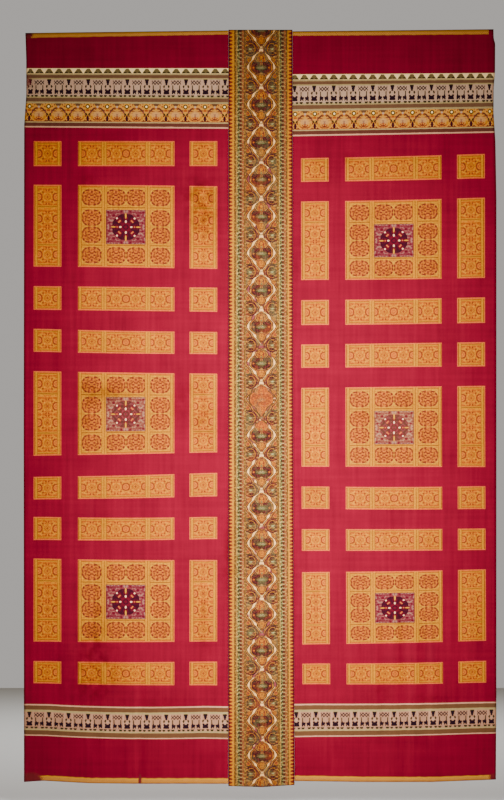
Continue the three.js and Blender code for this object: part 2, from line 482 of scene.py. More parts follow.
class Field:
    """A number that varies over the cloth: one socket of a node tree, with arithmetic."""

    def __init__(self, draft: "Draft", socket: Socket) -> None:
        """Keeps the draft that the number belongs to and its socket."""
        self.draft = draft
        self.socket = socket

    def step(self, operation: str, *others: Number, clamp: bool = False) -> "Field":
        """Adds one Math node that reads this number first."""
        return self.draft.math(operation, self, *others, clamp=clamp)

    def __add__(self, other: Number) -> "Field":
        """The sum."""
        return self.step("ADD", other)

    def __sub__(self, other: Number) -> "Field":
        """The difference."""
        return self.step("SUBTRACT", other)

    def __rsub__(self, other: float) -> "Field":
        """The difference, with a plain number first."""
        return self.draft.math("SUBTRACT", other, self)

    def __mul__(self, other: Number) -> "Field":
        """The product."""
        return self.step("MULTIPLY", other)

    def __truediv__(self, other: float) -> "Field":
        """The number divided by a plain number."""
        return self.step("MULTIPLY", 1.0 / other)

    def __and__(self, other: Number) -> "Field":
        """The part where both masks are on."""
        return self.step("MINIMUM", other)

    def __or__(self, other: Number) -> "Field":
        """The part where either mask is on."""
        return self.step("MAXIMUM", other)

    def __abs__(self) -> "Field":
        """The size without its sign."""
        return self.step("ABSOLUTE")

    def off(self) -> "Field":
        """The mask turned round."""
        return 1.0 - self

    def sine(self) -> "Field":
        """The sine."""
        return self.step("SINE")

    def folded(self, half_pitch: float) -> "Field":
        """The distance from the nearest axis of a repeat that is mirrored at every half pitch."""
        return self.step("PINGPONG", half_pitch)

    def wrapped(self, pitch: float) -> "Field":
        """The signed distance from the nearest axis of a repeat."""
        return self.step("WRAP", pitch / 2, -pitch / 2)

    def under(self, limit: float, soft: float = SOFT_EDGE) -> "Field":
        """A mask that is on where the number is below a limit, with a soft edge."""
        return self.step("MULTIPLY_ADD", -1.0 / soft, limit / soft + 0.5, clamp=True)

    def over(self, limit: float, soft: float = SOFT_EDGE) -> "Field":
        """A mask that is on where the number is above a limit, with a soft edge."""
        return self.step("MULTIPLY_ADD", 1.0 / soft, 0.5 - limit / soft, clamp=True)

    def near(self, middle: float, half: float, soft: float = SOFT_EDGE) -> "Field":
        """A mask that is on within half of a middle value."""
        return abs(self - middle).under(half, soft)

    def choose(self, if_on: Number, if_off: Number) -> "Field":
        """One of two numbers, as this mask says."""
        return self.draft.pick(self, if_on, if_off)


class Draft:
    """One node tree being written, for a material or for a group that several materials share."""

    def __init__(self, tree: bpy.types.NodeTree) -> None:
        """Keeps the tree."""
        self.tree = tree
        self.entry: Optional[bpy.types.Node] = None
        self.exit: Optional[bpy.types.Node] = None

    @classmethod
    def group(cls, name: str, inputs: dict[str, str], outputs: dict[str, str]) -> "Draft":
        """Starts a shared group with named sockets.

        Args:
            name: the group's name.
            inputs: each input's name and its kind of socket.
            outputs: each output's name and its kind of socket.

        Returns:
            The draft of the new group.
        """
        tree = bpy.data.node_groups.new(name, "ShaderNodeTree")
        for direction, sockets in (("INPUT", inputs), ("OUTPUT", outputs)):
            for label, kind in sockets.items():
                tree.interface.new_socket(name=label, in_out=direction, socket_type="NodeSocket" + kind)
        draft = cls(tree)
        draft.entry = draft.node("NodeGroupInput")
        draft.exit = draft.node("NodeGroupOutput")
        return draft

    def node(self, kind: str, **settings: Any) -> bpy.types.Node:
        """Adds a node of one kind with its settings."""
        made = self.tree.nodes.new(kind)
        for name, value in settings.items():
            setattr(made, name, value)
        return made

    def join(self, value: Any, socket: Socket) -> None:
        """Links a field or a socket to an input, or sets the input's own value."""
        if isinstance(value, Field):
            self.tree.links.new(value.socket, socket)
        elif isinstance(value, Socket):
            self.tree.links.new(value, socket)
        elif isinstance(value, Dye):
            socket.default_value = value.linear
        else:
            socket.default_value = value

    def given(self, name: str) -> Field:
        """A number that the group is given."""
        return Field(self, self.entry.outputs[name])

    def give(self, **results: Any) -> None:
        """Joins what the group puts out, by name with spaces as underscores."""
        for name, value in results.items():
            self.join(value, self.exit.inputs[name.replace("_", " ")])

    def math(self, operation: str, *terms: Number, clamp: bool = False) -> Field:
        """Adds one Math node.

        Args:
            operation: Blender's name for it.
            terms: the numbers that it reads, in order.
            clamp: whether the result is kept between 0 and 1.

        Returns:
            Its result.
        """
        made = self.node("ShaderNodeMath", operation=operation, use_clamp=clamp)
        for place, term in enumerate(terms):
            self.join(term, made.inputs[place])
        return Field(self, made.outputs[0])

    def pick(self, mask: Field, if_on: Number, if_off: Number) -> Field:
        """A mix of two numbers by a mask."""
        made = self.node("ShaderNodeMix", data_type="FLOAT")
        self.join(mask, made.inputs[0])
        self.join(if_off, made.inputs[2])
        self.join(if_on, made.inputs[3])
        return Field(self, made.outputs[0])

    def design_place(self) -> tuple[Field, Field]:
        """Where a point lies in the woven design: along and down, in millimetres."""
        read = self.node("ShaderNodeUVMap", uv_map=WEAVE_MAP)
        parts = self.node("ShaderNodeSeparateXYZ")
        self.join(read.outputs["UV"], parts.inputs[0])
        return Field(self, parts.outputs["X"]), Field(self, parts.outputs["Y"])

    def cloth_place(self) -> tuple[Field, Field]:
        """Where a point lies on the whole curtain: across and below its top, in millimetres."""
        read = self.node("ShaderNodeTexCoord")
        parts = self.node("ShaderNodeSeparateXYZ")
        self.join(read.outputs["Object"], parts.inputs[0])
        return Field(self, parts.outputs["X"]) / MM, Field(self, parts.outputs["Z"]) * (-1.0 / MM)

    def vector(self, x: Number, y: Number, z: Number = 0.0) -> Socket:
        """A vector of three numbers."""
        made = self.node("ShaderNodeCombineXYZ")
        for place, term in enumerate((x, y, z)):
            self.join(term, made.inputs[place])
        return made.outputs[0]

    def distance(self, x: Number, y: Number) -> Field:
        """The distance of the place (x, y) from the middle."""
        made = self.node("ShaderNodeVectorMath", operation="LENGTH")
        self.join(self.vector(x, y), made.inputs[0])
        return Field(self, made.outputs["Value"])

    def angle(self, x: Number, y: Number) -> Field:
        """The angle of the place (x, y) about the middle, in radians."""
        return self.math("ARCTAN2", y, x)

    def noise(self, where: Socket, scale: float, detail: float = 2.0) -> Field:
        """Soft noise between 0 and 1 at a place."""
        made = self.node("ShaderNodeTexNoise")
        self.join(where, made.inputs["Vector"])
        made.inputs["Scale"].default_value = scale
        made.inputs["Detail"].default_value = detail
        return Field(self, made.outputs["Fac"])

    def filigree(self, x: Number, y: Number, size: float) -> Field:
        """Small uneven marks of a woven figure: noise read at a folded place, so that they mirror with it."""
        return self.noise(self.vector(x / size, y / size, size), 1.0, 1.0)

    def curve(self, value: Field, points: Sequence[Pair]) -> Field:
        """A smooth curve through a few points, read at a value between 0 and 1."""
        made = self.node("ShaderNodeFloatCurve")
        line = made.mapping.curves[0]
        for place, (x, y) in enumerate(points):
            if place < len(line.points):
                line.points[place].location = (x, y)
            else:
                line.points.new(x, y)
        made.mapping.update()
        self.join(value, made.inputs["Value"])
        return Field(self, made.outputs[0])

    def layers(self, value: Field, full: float, stops: Stops) -> Socket:
        """Bands of colour, each from its stop to the next.

        Args:
            value: the place across the bands.
            full: the value at which the last band ends.
            stops: where each band starts, and its thread or colour.

        Returns:
            The colour socket.
        """
        made = self.node("ShaderNodeValToRGB")
        ramp = made.color_ramp
        ramp.interpolation = "CONSTANT"
        for place, (start, colour) in enumerate(stops):
            at = start / full
            element = ramp.elements[place] if place < 2 else ramp.elements.new(at)
            element.position = at
            element.color = colour.linear if isinstance(colour, Dye) else colour
        self.join(value / full, made.inputs[0])
        return made.outputs[0]

    def blend(self, mask: Number, over: Any, under: Any, mode: str = "MIX") -> Socket:
        """One colour laid over another by a mask."""
        made = self.node("ShaderNodeMix", data_type="RGBA", blend_type=mode)
        self.join(mask, made.inputs[0])
        self.join(under, made.inputs[6])
        self.join(over, made.inputs[7])
        return made.outputs[2]

    def use(self, group: "Draft", **given: Any) -> dict[str, Socket]:
        """Places a shared group and joins its inputs.

        Args:
            group: the draft of the shared group.
            given: what each input reads, by its name.

        Returns:
            The group's outputs by name.
        """
        made = self.node("ShaderNodeGroup", node_tree=group.tree)
        for name, value in given.items():
            self.join(value, made.inputs[name])
        return {socket.name: socket for socket in made.outputs}


WEAVE_MAP = "weave"
BAKE_MAP = "OFBake"
STATE = "state"


@dataclass(frozen=True)
class Spot:
    """A round woven mark: its middle, its radius, its thread and how much of it shows.

    narrow and flat say how many times narrower or flatter than round it is. Where ring is given, the mark is
    a ring of that radius, and its own radius is half the width of the line. soft is how wide its edge blurs.
    """

    x: float
    y: float
    radius: float
    thread: Optional[Dye] = None
    show: float = 1.0
    narrow: float = 1.0
    flat: float = 1.0
    ring: float = 0.0
    soft: float = SOFT_EDGE


Spots = tuple[Spot, ...]


class Palette:
    """Colours laid one over another, the last on top."""

    def __init__(self, draft: Draft, ground: Any) -> None:
        """Starts with the ground's colour, a thread or a socket."""
        self.draft = draft
        self.colour = ground

    def lay(self, mask: Field, thread: Any, mode: str = "MIX") -> None:
        """Lays a thread or a colour where the mask is on."""
        self.colour = self.draft.blend(mask, thread, self.colour, mode)

    def lay_spots(self, x: Field, y: Field, spots: Spots, within: Any = None, thread: Any = None) -> None:
        """Lays round marks, each by the distance of the place (x, y) from its middle.

        Args:
            x: the place across.
            y: the place down.
            spots: the marks, the last on top.
            within: a mask that they keep to, if there is any.
            thread: the thread or colour of the marks that name none.
        """
        for spot in spots:
            reach = self.draft.distance((x - spot.x) * spot.narrow, (y - spot.y) * spot.flat)
            if spot.ring:
                reach = abs(reach - spot.ring)
            shape = reach.under(spot.radius, spot.soft) * spot.show
            if within is not None:
                shape = within & shape
            self.lay(shape, spot.thread or thread)


# Effects that several finishes share


STAIN_TINT = (0.5, 0.4, 0.28, 1.0)
WARP_RIB = 1.3
WEFT_RIB = 0.9

FIGURE_PITCH = 113.0
FIGURE_CELL = FIGURE_PITCH / 40
FIGURE_TALL = 102.0

# Half of one repeat of the border figures, from the axis of one figure to that of the next. A hash is dark.
FIGURE_CHART = (
    "####................",
    "####................",
    "###.................",
    "###.................",
    "##..................",
    "##..................",
    "...###......##......",
    "...####.....##......",
    "....##......##......",
    "............##......",
    "..####......###.....",
    "######.....########.",
    "#####......########.",
    "######.....#######..",
    "######.....###..##..",
    "....................",
    "..######..#######...",
    "...####....#####....",
)
CHANNEL_BITS = 8

# The woven lines of a gold block, from its sides and from its ends inwards.
FRAME_SIDE_LINES = (
    (0.0, Dye.ROSE),
    (6.5, Dye.AMBER),
    (9.5, Dye.OLIVE_BROWN),
    (12.5, Dye.BRIGHT_GOLD),
    (24.5, Dye.OLIVE_BROWN),
    (27.0, Dye.GOLD),
)
FRAME_END_LINES = (
    (0.0, Dye.ROSE),
    (6.0, Dye.AMBER),
    (8.5, Dye.GOLD),
    (11.0, Dye.OLIVE_BROWN),
    (13.5, Dye.BRIGHT_GOLD),
    (18.5, Dye.GOLD),
)
FRAME_FULL = 40.0
FRAME_FIRST_LINE = 5.0

# The marks of a ring, from its own middle, and the seeds between the rings, from the compartment's middle.
RING_MARKS = (
    Spot(0, 0, 18, Dye.ROSE, show=0.3, soft=2),
    Spot(0, 0, 1.5, Dye.RUST, show=0.7, ring=8, soft=2),
    Spot(0, 0, 3.2, Dye.BRICK, show=0.85, ring=20.5, soft=2.6),
)
SEED_MARKS = (
    Spot(0, 0, 5, Dye.RUST, soft=3),
    Spot(26, 28.5, 5.4, Dye.BRICK, show=0.75, soft=2.5),
    Spot(17.5, 20, 3, Dye.PALE_GOLD, show=0.6, soft=2),
    Spot(7.7, 40, 3.8, Dye.BRICK, show=0.9, soft=2),
    Spot(0, 35, 2.6, Dye.PALE_GOLD, show=0.6, soft=1.6),
)


class SharedEffects:
    """The node groups that more than one finish places, each built once."""

    def __init__(self) -> None:
        """Builds every shared group."""
        self.silk = self.build_silk()
        self.age = self.build_age()
        self.frame = self.build_frame()
        self.crescents = self.build_crescents()
        self.figures = self.build_figures()

    def build_silk(self) -> Draft:
        """Fine ribs, long uneven streaks of the warp and a soft mottle, as a tone, a height and a gloss."""
        draft = Draft.group(
            "silk_weave",
            {"Across": "Float", "Down": "Float", "Streaks": "Float", "Grain": "Float"},
            {"Tone": "Color", "Height": "Float", "Roughness": "Float"},
        )
        across, down = draft.given("Across"), draft.given("Down")
        streaks, grain = draft.given("Streaks"), draft.given("Grain")
        long_streak = draft.noise(draft.vector(across / 21.0, down / 520.0), 1.0, 3.0)
        weft_bar = draft.noise(draft.vector(across / 640.0, down / 24.0), 1.0, 3.0)
        mottle = draft.noise(draft.vector(across / 150.0, down / 210.0), 1.0, 4.0)
        thread = draft.noise(draft.vector(across / 2.6, down / 3.4), 1.0, 1.0)
        fleck = draft.noise(draft.vector(across / 10.0, down / 9.0), 1.0, 3.0)
        tone = (long_streak - 0.5) * 0.8 + (weft_bar - 0.5) * 0.55 + (mottle - 0.5) * 0.7
        tone = tone * streaks + (fleck - 0.5) * grain + 1.0
        ribs = (across * (2 * math.pi / WARP_RIB)).sine() + (down * (2 * math.pi / WEFT_RIB)).sine()
        height = ribs * 0.125 + thread + long_streak * 1.5
        made = draft.node("ShaderNodeCombineColor")
        for socket in made.inputs:
            draft.join(tone, socket)
        gloss = (mottle - 0.5) * 0.16 + (thread - 0.5) * 0.12 + 0.6
        draft.give(Tone=made.outputs[0], Height=height, Roughness=gloss)
        return draft

    def build_age(self) -> Draft:
        """Brown stains, gold worn back to the red and the duller back of the cloth, by the painted state."""
        draft = Draft.group(
            "silk_age",
            {"Colour": "Color", "State": "Color", "Across": "Float", "Down": "Float"},
            {"Colour": "Color"},
        )
        parts = draft.node("ShaderNodeSeparateColor")
        draft.join(draft.entry.outputs["State"], parts.inputs[0])
        stain, worn, back = (Field(draft, parts.outputs[place]) for place in range(3))
        where = draft.vector(draft.given("Across") / 24.0, draft.given("Down") / 30.0)
        patchy = draft.noise(where, 0.55, 5.0)
        stained = (stain * (patchy - 0.28) * 3.4) & 1.0
        fine = draft.noise(where, 5.0, 2.0)
        bare = ((worn * 1.1) + (fine - 0.5) * 0.9).over(0.5, 0.25) & worn.over(0.08, 0.1)
        palette = Palette(draft, draft.entry.outputs["Colour"])
        palette.lay(stained.step("MULTIPLY", 0.85, clamp=True), STAIN_TINT, "MULTIPLY")
        palette.lay(bare, Dye.WORN_RED)
        palette.lay(back * 0.45, Dye.DEEP_CRIMSON)
        draft.give(Colour=palette.colour)
        return draft

    def build_frame(self) -> Draft:
        """The woven lines of a gold block: upright ones run its whole height, with level ones between them.

        Side and End are the distances from the nearest side and end, or from the nearest divider and a bit
        more.
        """
        draft = Draft.group(
            "block_frame",
            {"Side": "Float", "End": "Float"},
            {"Colour": "Color", "Field": "Float"},
        )
        side, end = draft.given("Side"), draft.given("End")
        past_side = side.over(FRAME_SIDE_LINES[-1][0])
        past_end = end.over(FRAME_END_LINES[-1][0])
        palette = Palette(draft, draft.layers(side, FRAME_FULL, FRAME_SIDE_LINES))
        palette.lay(past_side, draft.layers(end, FRAME_FULL, FRAME_END_LINES))
        palette.lay(end.under(FRAME_FIRST_LINE), Dye.ROSE)
        draft.give(Colour=palette.colour, Field=past_side & past_end)
        return draft

    def build_crescents(self) -> Draft:
        """Rings cut off by the frame, with the dots, seeds and petals between them.

        Reach and Level are measured from the middle of the nearest ring, and Across from the compartment's.
        """
        draft = Draft.group(
            "crescent_figure",
            {"Reach": "Float", "Level": "Float", "Across": "Float"},
            {"Colour": "Color"},
        )
        reach, level = draft.given("Reach"), draft.given("Level")
        across = abs(draft.given("Across"))
        ring = draft.distance(reach, level)
        turn = draft.angle(reach, level)
        petals = (turn * 9.0).sine().over(-0.1, 0.8)
        seeds = abs((across + level).wrapped(13.0)) | abs((across - level).wrapped(13.0))
        middle = (across + level * 0.8).under(24.0, 6.0)
        fine = draft.filigree(across, level, 13.0)
        palette = Palette(draft, Dye.GOLD)
        palette.lay(fine.over(0.56, 0.1) * 0.55, Dye.RUST)
        palette.lay(fine.under(0.43, 0.1) * 0.5, Dye.PALE_GOLD)
        palette.lay(ring.near(29.5, 3.0, 3.0) & petals, Dye.BRIGHT_GOLD)
        palette.lay(ring.near(36.0, 1.8, 2.0) & petals & middle.off(), Dye.AMBER)
        palette.lay(middle * 0.6, Dye.AMBER)
        palette.lay(seeds.under(3.6, 2.0) & middle * 0.8, Dye.BRIGHT_GOLD)
        palette.lay_spots(reach, level, RING_MARKS)
        palette.lay_spots(across, level, SEED_MARKS)
        draft.give(Colour=palette.colour)
        return draft

    def build_figures(self) -> Draft:
        """The charted figures of both borders: a colour ramp holds each charted row as three numbers.

        Each number has eight bits. A column's bit is read by dividing its number by a power of two, and is on
        where the whole part is odd.
        """
        draft = Draft.group(
            "border_figures",
            {"Along": "Float", "Down": "Float"},
            {"Dark": "Float", "Olive": "Float", "Lattice": "Float", "Post": "Float", "Pale": "Float"},
        )
        fold = draft.given("Along").folded(FIGURE_PITCH / 2)
        down = draft.given("Down")
        column = (fold / FIGURE_CELL).step("FLOOR") & (len(FIGURE_CHART[0]) - 1.0)
        stops = []
        for place, row in enumerate(FIGURE_CHART):
            padded = row.ljust(3 * CHANNEL_BITS, ".")
            bits = padded.replace("#", "1").replace(".", "0")
            starts = range(0, 3 * CHANNEL_BITS, CHANNEL_BITS)
            numbers = [int(bits[start : start + CHANNEL_BITS], 2) / 2**CHANNEL_BITS for start in starts]
            stops.append((place * FIGURE_TALL / len(FIGURE_CHART), (*numbers, 1.0)))
        parts = draft.node("ShaderNodeSeparateColor")
        draft.join(draft.layers(down, FIGURE_TALL, stops), parts.inputs[0])
        first, second, third = (Field(draft, parts.outputs[place]) for place in range(3))
        in_first = column.step("LESS_THAN", CHANNEL_BITS - 0.5)
        in_third = column.step("GREATER_THAN", 2 * CHANNEL_BITS - 0.5)
        number = in_first.choose(first, in_third.choose(third, second)) * float(2**CHANNEL_BITS)
        bit = (CHANNEL_BITS - 1.0) - column.step("MODULO", float(CHANNEL_BITS))
        whole = draft.math("DIVIDE", number + 0.01, draft.math("POWER", 2.0, bit)).step("FLOOR")
        dark = whole.step("MODULO", 2.0).step("GREATER_THAN", 0.5)
        inside = down.over(0.0) & down.under(FIGURE_TALL)
        olive = down.over(FIGURE_TALL * 0.85) | down.under(5.6) | down.near(45.4, 11.3)
        from_other = FIGURE_PITCH / 2 - fold
        first_way = abs((from_other + down).wrapped(19.0))
        second_way = abs((from_other - down).wrapped(19.0))
        mesh = (first_way & second_way).under(3.3) & from_other.under(27.5) & down.near(19.0, 12.6)
        post = fold.near(21.5, 5.0) & down.under(FIGURE_TALL * 0.86)
        pale = (fold + abs(down - FIGURE_TALL * 0.49)).under(11.0)
        draft.give(Dark=dark & inside, Olive=olive)
        draft.give(Lattice=mesh & inside, Post=post & inside, Pale=pale & inside)
        return draft


# Finishes


@dataclass(frozen=True)
class SilkFinish:
    """A woven silk finish: the design comes from draw, and weave, age and gloss are alike in every region.

    Args:
        name: the material's name.
        streaks: how much the long streaks of the warp show.
        grain: how much single threads show.
        wander: how far woven lines stray from straight, in millimetres.
        relief: the height of the weave in millimetres.
        specular: how strong its gloss is.
    """

    name: str
    streaks: float = 0.8
    grain: float = 0.2
    wander: float = 3.2
    relief: float = 0.25
    specular: float = 0.03

    def draw(self, draft: Draft, shared: SharedEffects, along: Field, down: Field) -> Any:
        """The woven design before its weave and wear: plain crimson here."""
        return Dye.CRIMSON

    def build(self, shared: SharedEffects) -> bpy.types.Material:
        """Makes the material.

        Args:
            shared: the groups that the finishes share.

        Returns:
            The finished material.
        """
        material = bpy.data.materials.new(self.name)
        material.use_nodes = True
        material.node_tree.nodes.clear()
        draft = Draft(material.node_tree)
        across, drop = draft.cloth_place()
        along, down = draft.design_place()
        stray = draft.noise(draft.vector(across / 34.0, drop / 34.0), 1.0, 2.0)
        other_stray = draft.noise(draft.vector(drop / 30.0 + 70.0, across / 30.0), 1.0, 2.0)
        along = along + (stray - 0.5) * self.wander
        down = down + (other_stray - 0.5) * self.wander
        design = self.draw(draft, shared, along, down)
        state = draft.node("ShaderNodeAttribute", attribute_name=STATE)
        aged = draft.use(shared.age, Colour=design, State=state.outputs["Color"], Across=across, Down=drop)
        silk = draft.use(shared.silk, Across=across, Down=drop, Streaks=self.streaks, Grain=self.grain)
        bump = draft.node("ShaderNodeBump")
        bump.inputs["Strength"].default_value = 1.0
        bump.inputs["Distance"].default_value = self.relief * MM
        draft.join(silk["Height"], bump.inputs["Height"])
        shader = draft.node("ShaderNodeBsdfPrincipled")
        draft.join(draft.blend(1.0, silk["Tone"], aged["Colour"], "MULTIPLY"), shader.inputs["Base Color"])
        draft.join(silk["Roughness"], shader.inputs["Roughness"])
        draft.join(bump.outputs["Normal"], shader.inputs["Normal"])
        shader.inputs["Specular IOR Level"].default_value = self.specular
        end = draft.node("ShaderNodeOutputMaterial")
        draft.join(shader.outputs["BSDF"], end.inputs["Surface"])
        return material


@dataclass(frozen=True)
class EndStripeFinish(SilkFinish):
    """The gold stripe at a panel's cut end, with a paler line above it and ragged edges."""

    wander: float = 9.0

    def draw(self, draft: Draft, shared: SharedEffects, along: Field, down: Field) -> Any:
        """Gold under a paler line on crimson, with specks where the red shows through."""
        palette = Palette(draft, Dye.CRIMSON)
        palette.lay(down.near(END_STRIPE_TALL / 2, 14.0, 2.5), Dye.PALE_GOLD)
        palette.lay(down.near(19.0, 9.5, 2.0), Dye.STRIPE_GOLD)
        speckle = (abs((along + down).wrapped(13.0)) | abs((along - down).wrapped(13.0))).under(3.4, 2.0)
        palette.lay(speckle & down.near(20.0, 9.0), Dye.OLIVE_BROWN)
        return palette.colour


@dataclass(frozen=True)
class BlockFinish(SilkFinish):
    """A gold block: its frame and dividers, with figures in the compartments that they leave."""

    wide: float = BLOCK_NARROW
    tall: float = BLOCK_SHORT
    ring_from_side: float = 31.0
    divider_half: Pair = (11.0, 11.4)
    streaks: float = 0.4
    grain: float = 0.95

    def framed(
        self,
        draft: Draft,
        shared: SharedEffects,
        place: tuple[Field, Field],
        figures: Any,
        column: Optional[Field] = None,
        row: Optional[Field] = None,
    ) -> Any:
        """Lays the frame over the figures.

        Args:
            draft: the material's tree.
            shared: the shared groups.
            place: along and down the block.
            figures: the colour of what lies in the compartments.
            column: the distance from the nearest upright divider, if there is any.
            row: the distance from the nearest level divider, if there is any.

        Returns:
            The colour of the whole block.
        """
        along, down = place
        side = along & (self.wide - along)
        end = down & (self.tall - down)
        if column is not None:
            side = side & (column + self.divider_half[0])
        if row is not None:
            end = end & (row + self.divider_half[1])
        frame = draft.use(shared.frame, Side=side, End=end)
        return draft.blend(Field(draft, frame["Field"]), figures, frame["Colour"])


@dataclass(frozen=True)
class SmallBlockFinish(BlockFinish):
    """A small gold block with one pair of facing crescents."""

    def draw(self, draft: Draft, shared: SharedEffects, along: Field, down: Field) -> Any:
        """Measures reach from each crescent's middle, and level from the block's centre line."""
        across = along - self.wide / 2
        reach = (self.wide / 2 - self.ring_from_side) - abs(across)
        level = abs(down - self.tall / 2)
        figure = draft.use(shared.crescents, Reach=reach, Level=level, Across=across)
        return self.framed(draft, shared, (along, down), figure["Colour"])


@dataclass(frozen=True)
class NarrowBlockFinish(BlockFinish):
    """A tall narrow gold block of three compartments, with four pairs of crescents in all."""

    tall: float = BLOCK_TALL
    divider: float = 110.5
    outer_pair: float = 166.5
    inner_middle: float = 243.0
    inner_pair: float = 46.5
    cross_pitch: float = 95.0
    cross_arm: float = 8.0

    def draw(self, draft: Draft, shared: SharedEffects, along: Field, down: Field) -> Any:
        """Folds the block about its middle, and its middle compartment about its own."""
        across = along - self.wide / 2
        reach = (self.wide / 2 - self.ring_from_side) - abs(across)
        half = abs(down - self.tall / 2)
        inner = abs(down - self.inner_middle)
        is_outer = half.step("GREATER_THAN", self.divider)
        level = abs(is_outer.choose(half - self.outer_pair, inner - self.inner_pair))
        figure = draft.use(shared.crescents, Reach=reach, Level=level, Across=across)
        palette = Palette(draft, figure["Colour"])
        from_cross = abs(inner - self.cross_pitch / 2).folded(self.cross_pitch / 2)
        cross = abs(abs(across) - from_cross).under(2.6) & from_cross.under(self.cross_arm)
        palette.lay(cross & is_outer.off() & inner.step("LESS_THAN", 97.0), Dye.RUST)
        return self.framed(draft, shared, (along, down), palette.colour, row=abs(half - self.divider))


@dataclass(frozen=True)
class ShortBlockFinish(BlockFinish):
    """A long low gold block of three compartments with crescents at their ends and one ring in the middle."""

    wide: float = BLOCK_WIDE
    divider: float = 127.0
    side_middle: float = 197.0
    side_reach: float = 55.0
    middle_reach: float = 55.5

    def draw(self, draft: Draft, shared: SharedEffects, along: Field, down: Field) -> Any:
        """Folds the block about its middle and measures from the nearest ring or crescent."""
        half = abs(along - self.wide / 2)
        is_side = half.step("GREATER_THAN", self.divider)
        side = self.side_reach - abs(half - self.side_middle)
        middle = self.middle_reach - abs(half - self.middle_reach)
        reach = is_side.choose(side, middle)
        across = half - is_side.choose(self.side_middle, self.middle_reach)
        level = abs(down - self.tall / 2)
        figure = draft.use(shared.crescents, Reach=reach, Level=level, Across=across)
        return self.framed(draft, shared, (along, down), figure["Colour"], column=abs(half - self.divider))


@dataclass(frozen=True)
class Whorl:
    """A ring of petals in a roundel, in shares of the roundel's half size.

    count and turned say how many petals it has and how far they are turned, and thin and blur how thin and
    how soft they are.
    """

    radius: float
    half: float
    count: float
    turned: float
    thin: float
    blur: float
    thread: Dye
    show: float = 1.0


@dataclass(frozen=True)
class TallBlockFinish(BlockFinish):
    """A wide tall gold block: rounded roundels in the compartments round its dark centre square.

    side_middle and inner_middle are the roundels' middles across, and upper_middle and level_middle those
    up or down, all from the block's own middle. squaring squares the roundels' shoulders.
    """

    wide: float = BLOCK_WIDE
    tall: float = BLOCK_TALL
    column_divider: float = 124.5
    row_divider: float = 109.0
    side_middle: float = 198.0
    inner_middle: float = 58.0
    upper_middle: float = 167.0
    level_middle: float = 49.5
    roundel: Pair = (55.0, 46.5)
    square_low: float = 1.5
    squaring: float = 0.22
    soft: float = 0.07
    whorls: tuple[Whorl, ...] = (
        Whorl(0.74, 0.07, 7, 0.7, 0, 0.7, Dye.GOLD, 0.6),
        Whorl(0.72, 0.08, 9, -0.4, 0.2, 0.5, Dye.BRICK, 0.7),
        Whorl(0.52, 0.07, 5, 0.4, 0, 0.5, Dye.BRICK, 0.7),
        Whorl(0.38, 0.06, 6, -0.5, 0.3, 0.6, Dye.GOLD, 0.5),
        Whorl(0.24, 0.07, 4, 1.9, 0.1, 0.5, Dye.BRICK),
    )

    def draw(self, draft: Draft, shared: SharedEffects, along: Field, down: Field) -> Any:
        """Folds the block both ways, and draws each roundel in the unit circle of its own oval.

        The distance is lessened by a share of the product of both sides, so that the oval comes out squarer.
        """
        half = abs(along - self.wide / 2)
        rise = abs(down - self.tall / 2 - self.square_low)
        side = half.step("GREATER_THAN", self.column_divider)
        upper = rise.step("GREATER_THAN", self.row_divider)
        x = (half - side.choose(self.side_middle, self.inner_middle)) / self.roundel[0]
        y = (rise - upper.choose(self.upper_middle, self.level_middle)) / self.roundel[1]
        radius = draft.distance(x, y)
        turn = draft.angle(x, y)
        shape = radius - abs(x * y) * self.squaring
        soft = self.soft
        palette = Palette(draft, Dye.BRIGHT_GOLD)
        palette.lay((abs(x) + abs(y)).near(1.5, 0.1, soft) * 0.8, Dye.PALE_GOLD)
        palette.lay(shape.near(1.06, 0.04, soft) * 0.7, Dye.PALE_GOLD)
        fine = draft.filigree(abs(x) * self.roundel[0], abs(y) * self.roundel[1], 12.0)
        palette.lay(fine.over(0.56, 0.1) * 0.5, Dye.RUST)
        palette.lay(shape.under(0.99, soft) * 0.5, Dye.ORANGE)
        palette.lay(shape.under(0.97, soft) & fine.over(0.54, 0.1) * 0.8, Dye.BRICK)
        palette.lay(shape.under(0.97, soft) & fine.under(0.44, 0.1) * 0.5, Dye.ROSE)
        for whorl in self.whorls:
            petals = (turn * whorl.count + whorl.turned).sine().over(whorl.thin, whorl.blur)
            palette.lay(petals & radius.near(whorl.radius, whorl.half, soft) * whorl.show, whorl.thread)
        dashes = (turn * 13.0 + 0.6).sine().over(-0.2, 0.5)
        palette.lay(shape.near(0.92, 0.065, soft) & dashes & (abs(x) * 1.3 + 0.35), Dye.BRICK)
        column, row = abs(half - self.column_divider), abs(rise - self.row_divider)
        return self.framed(draft, shared, (along, down), palette.colour, column, row)


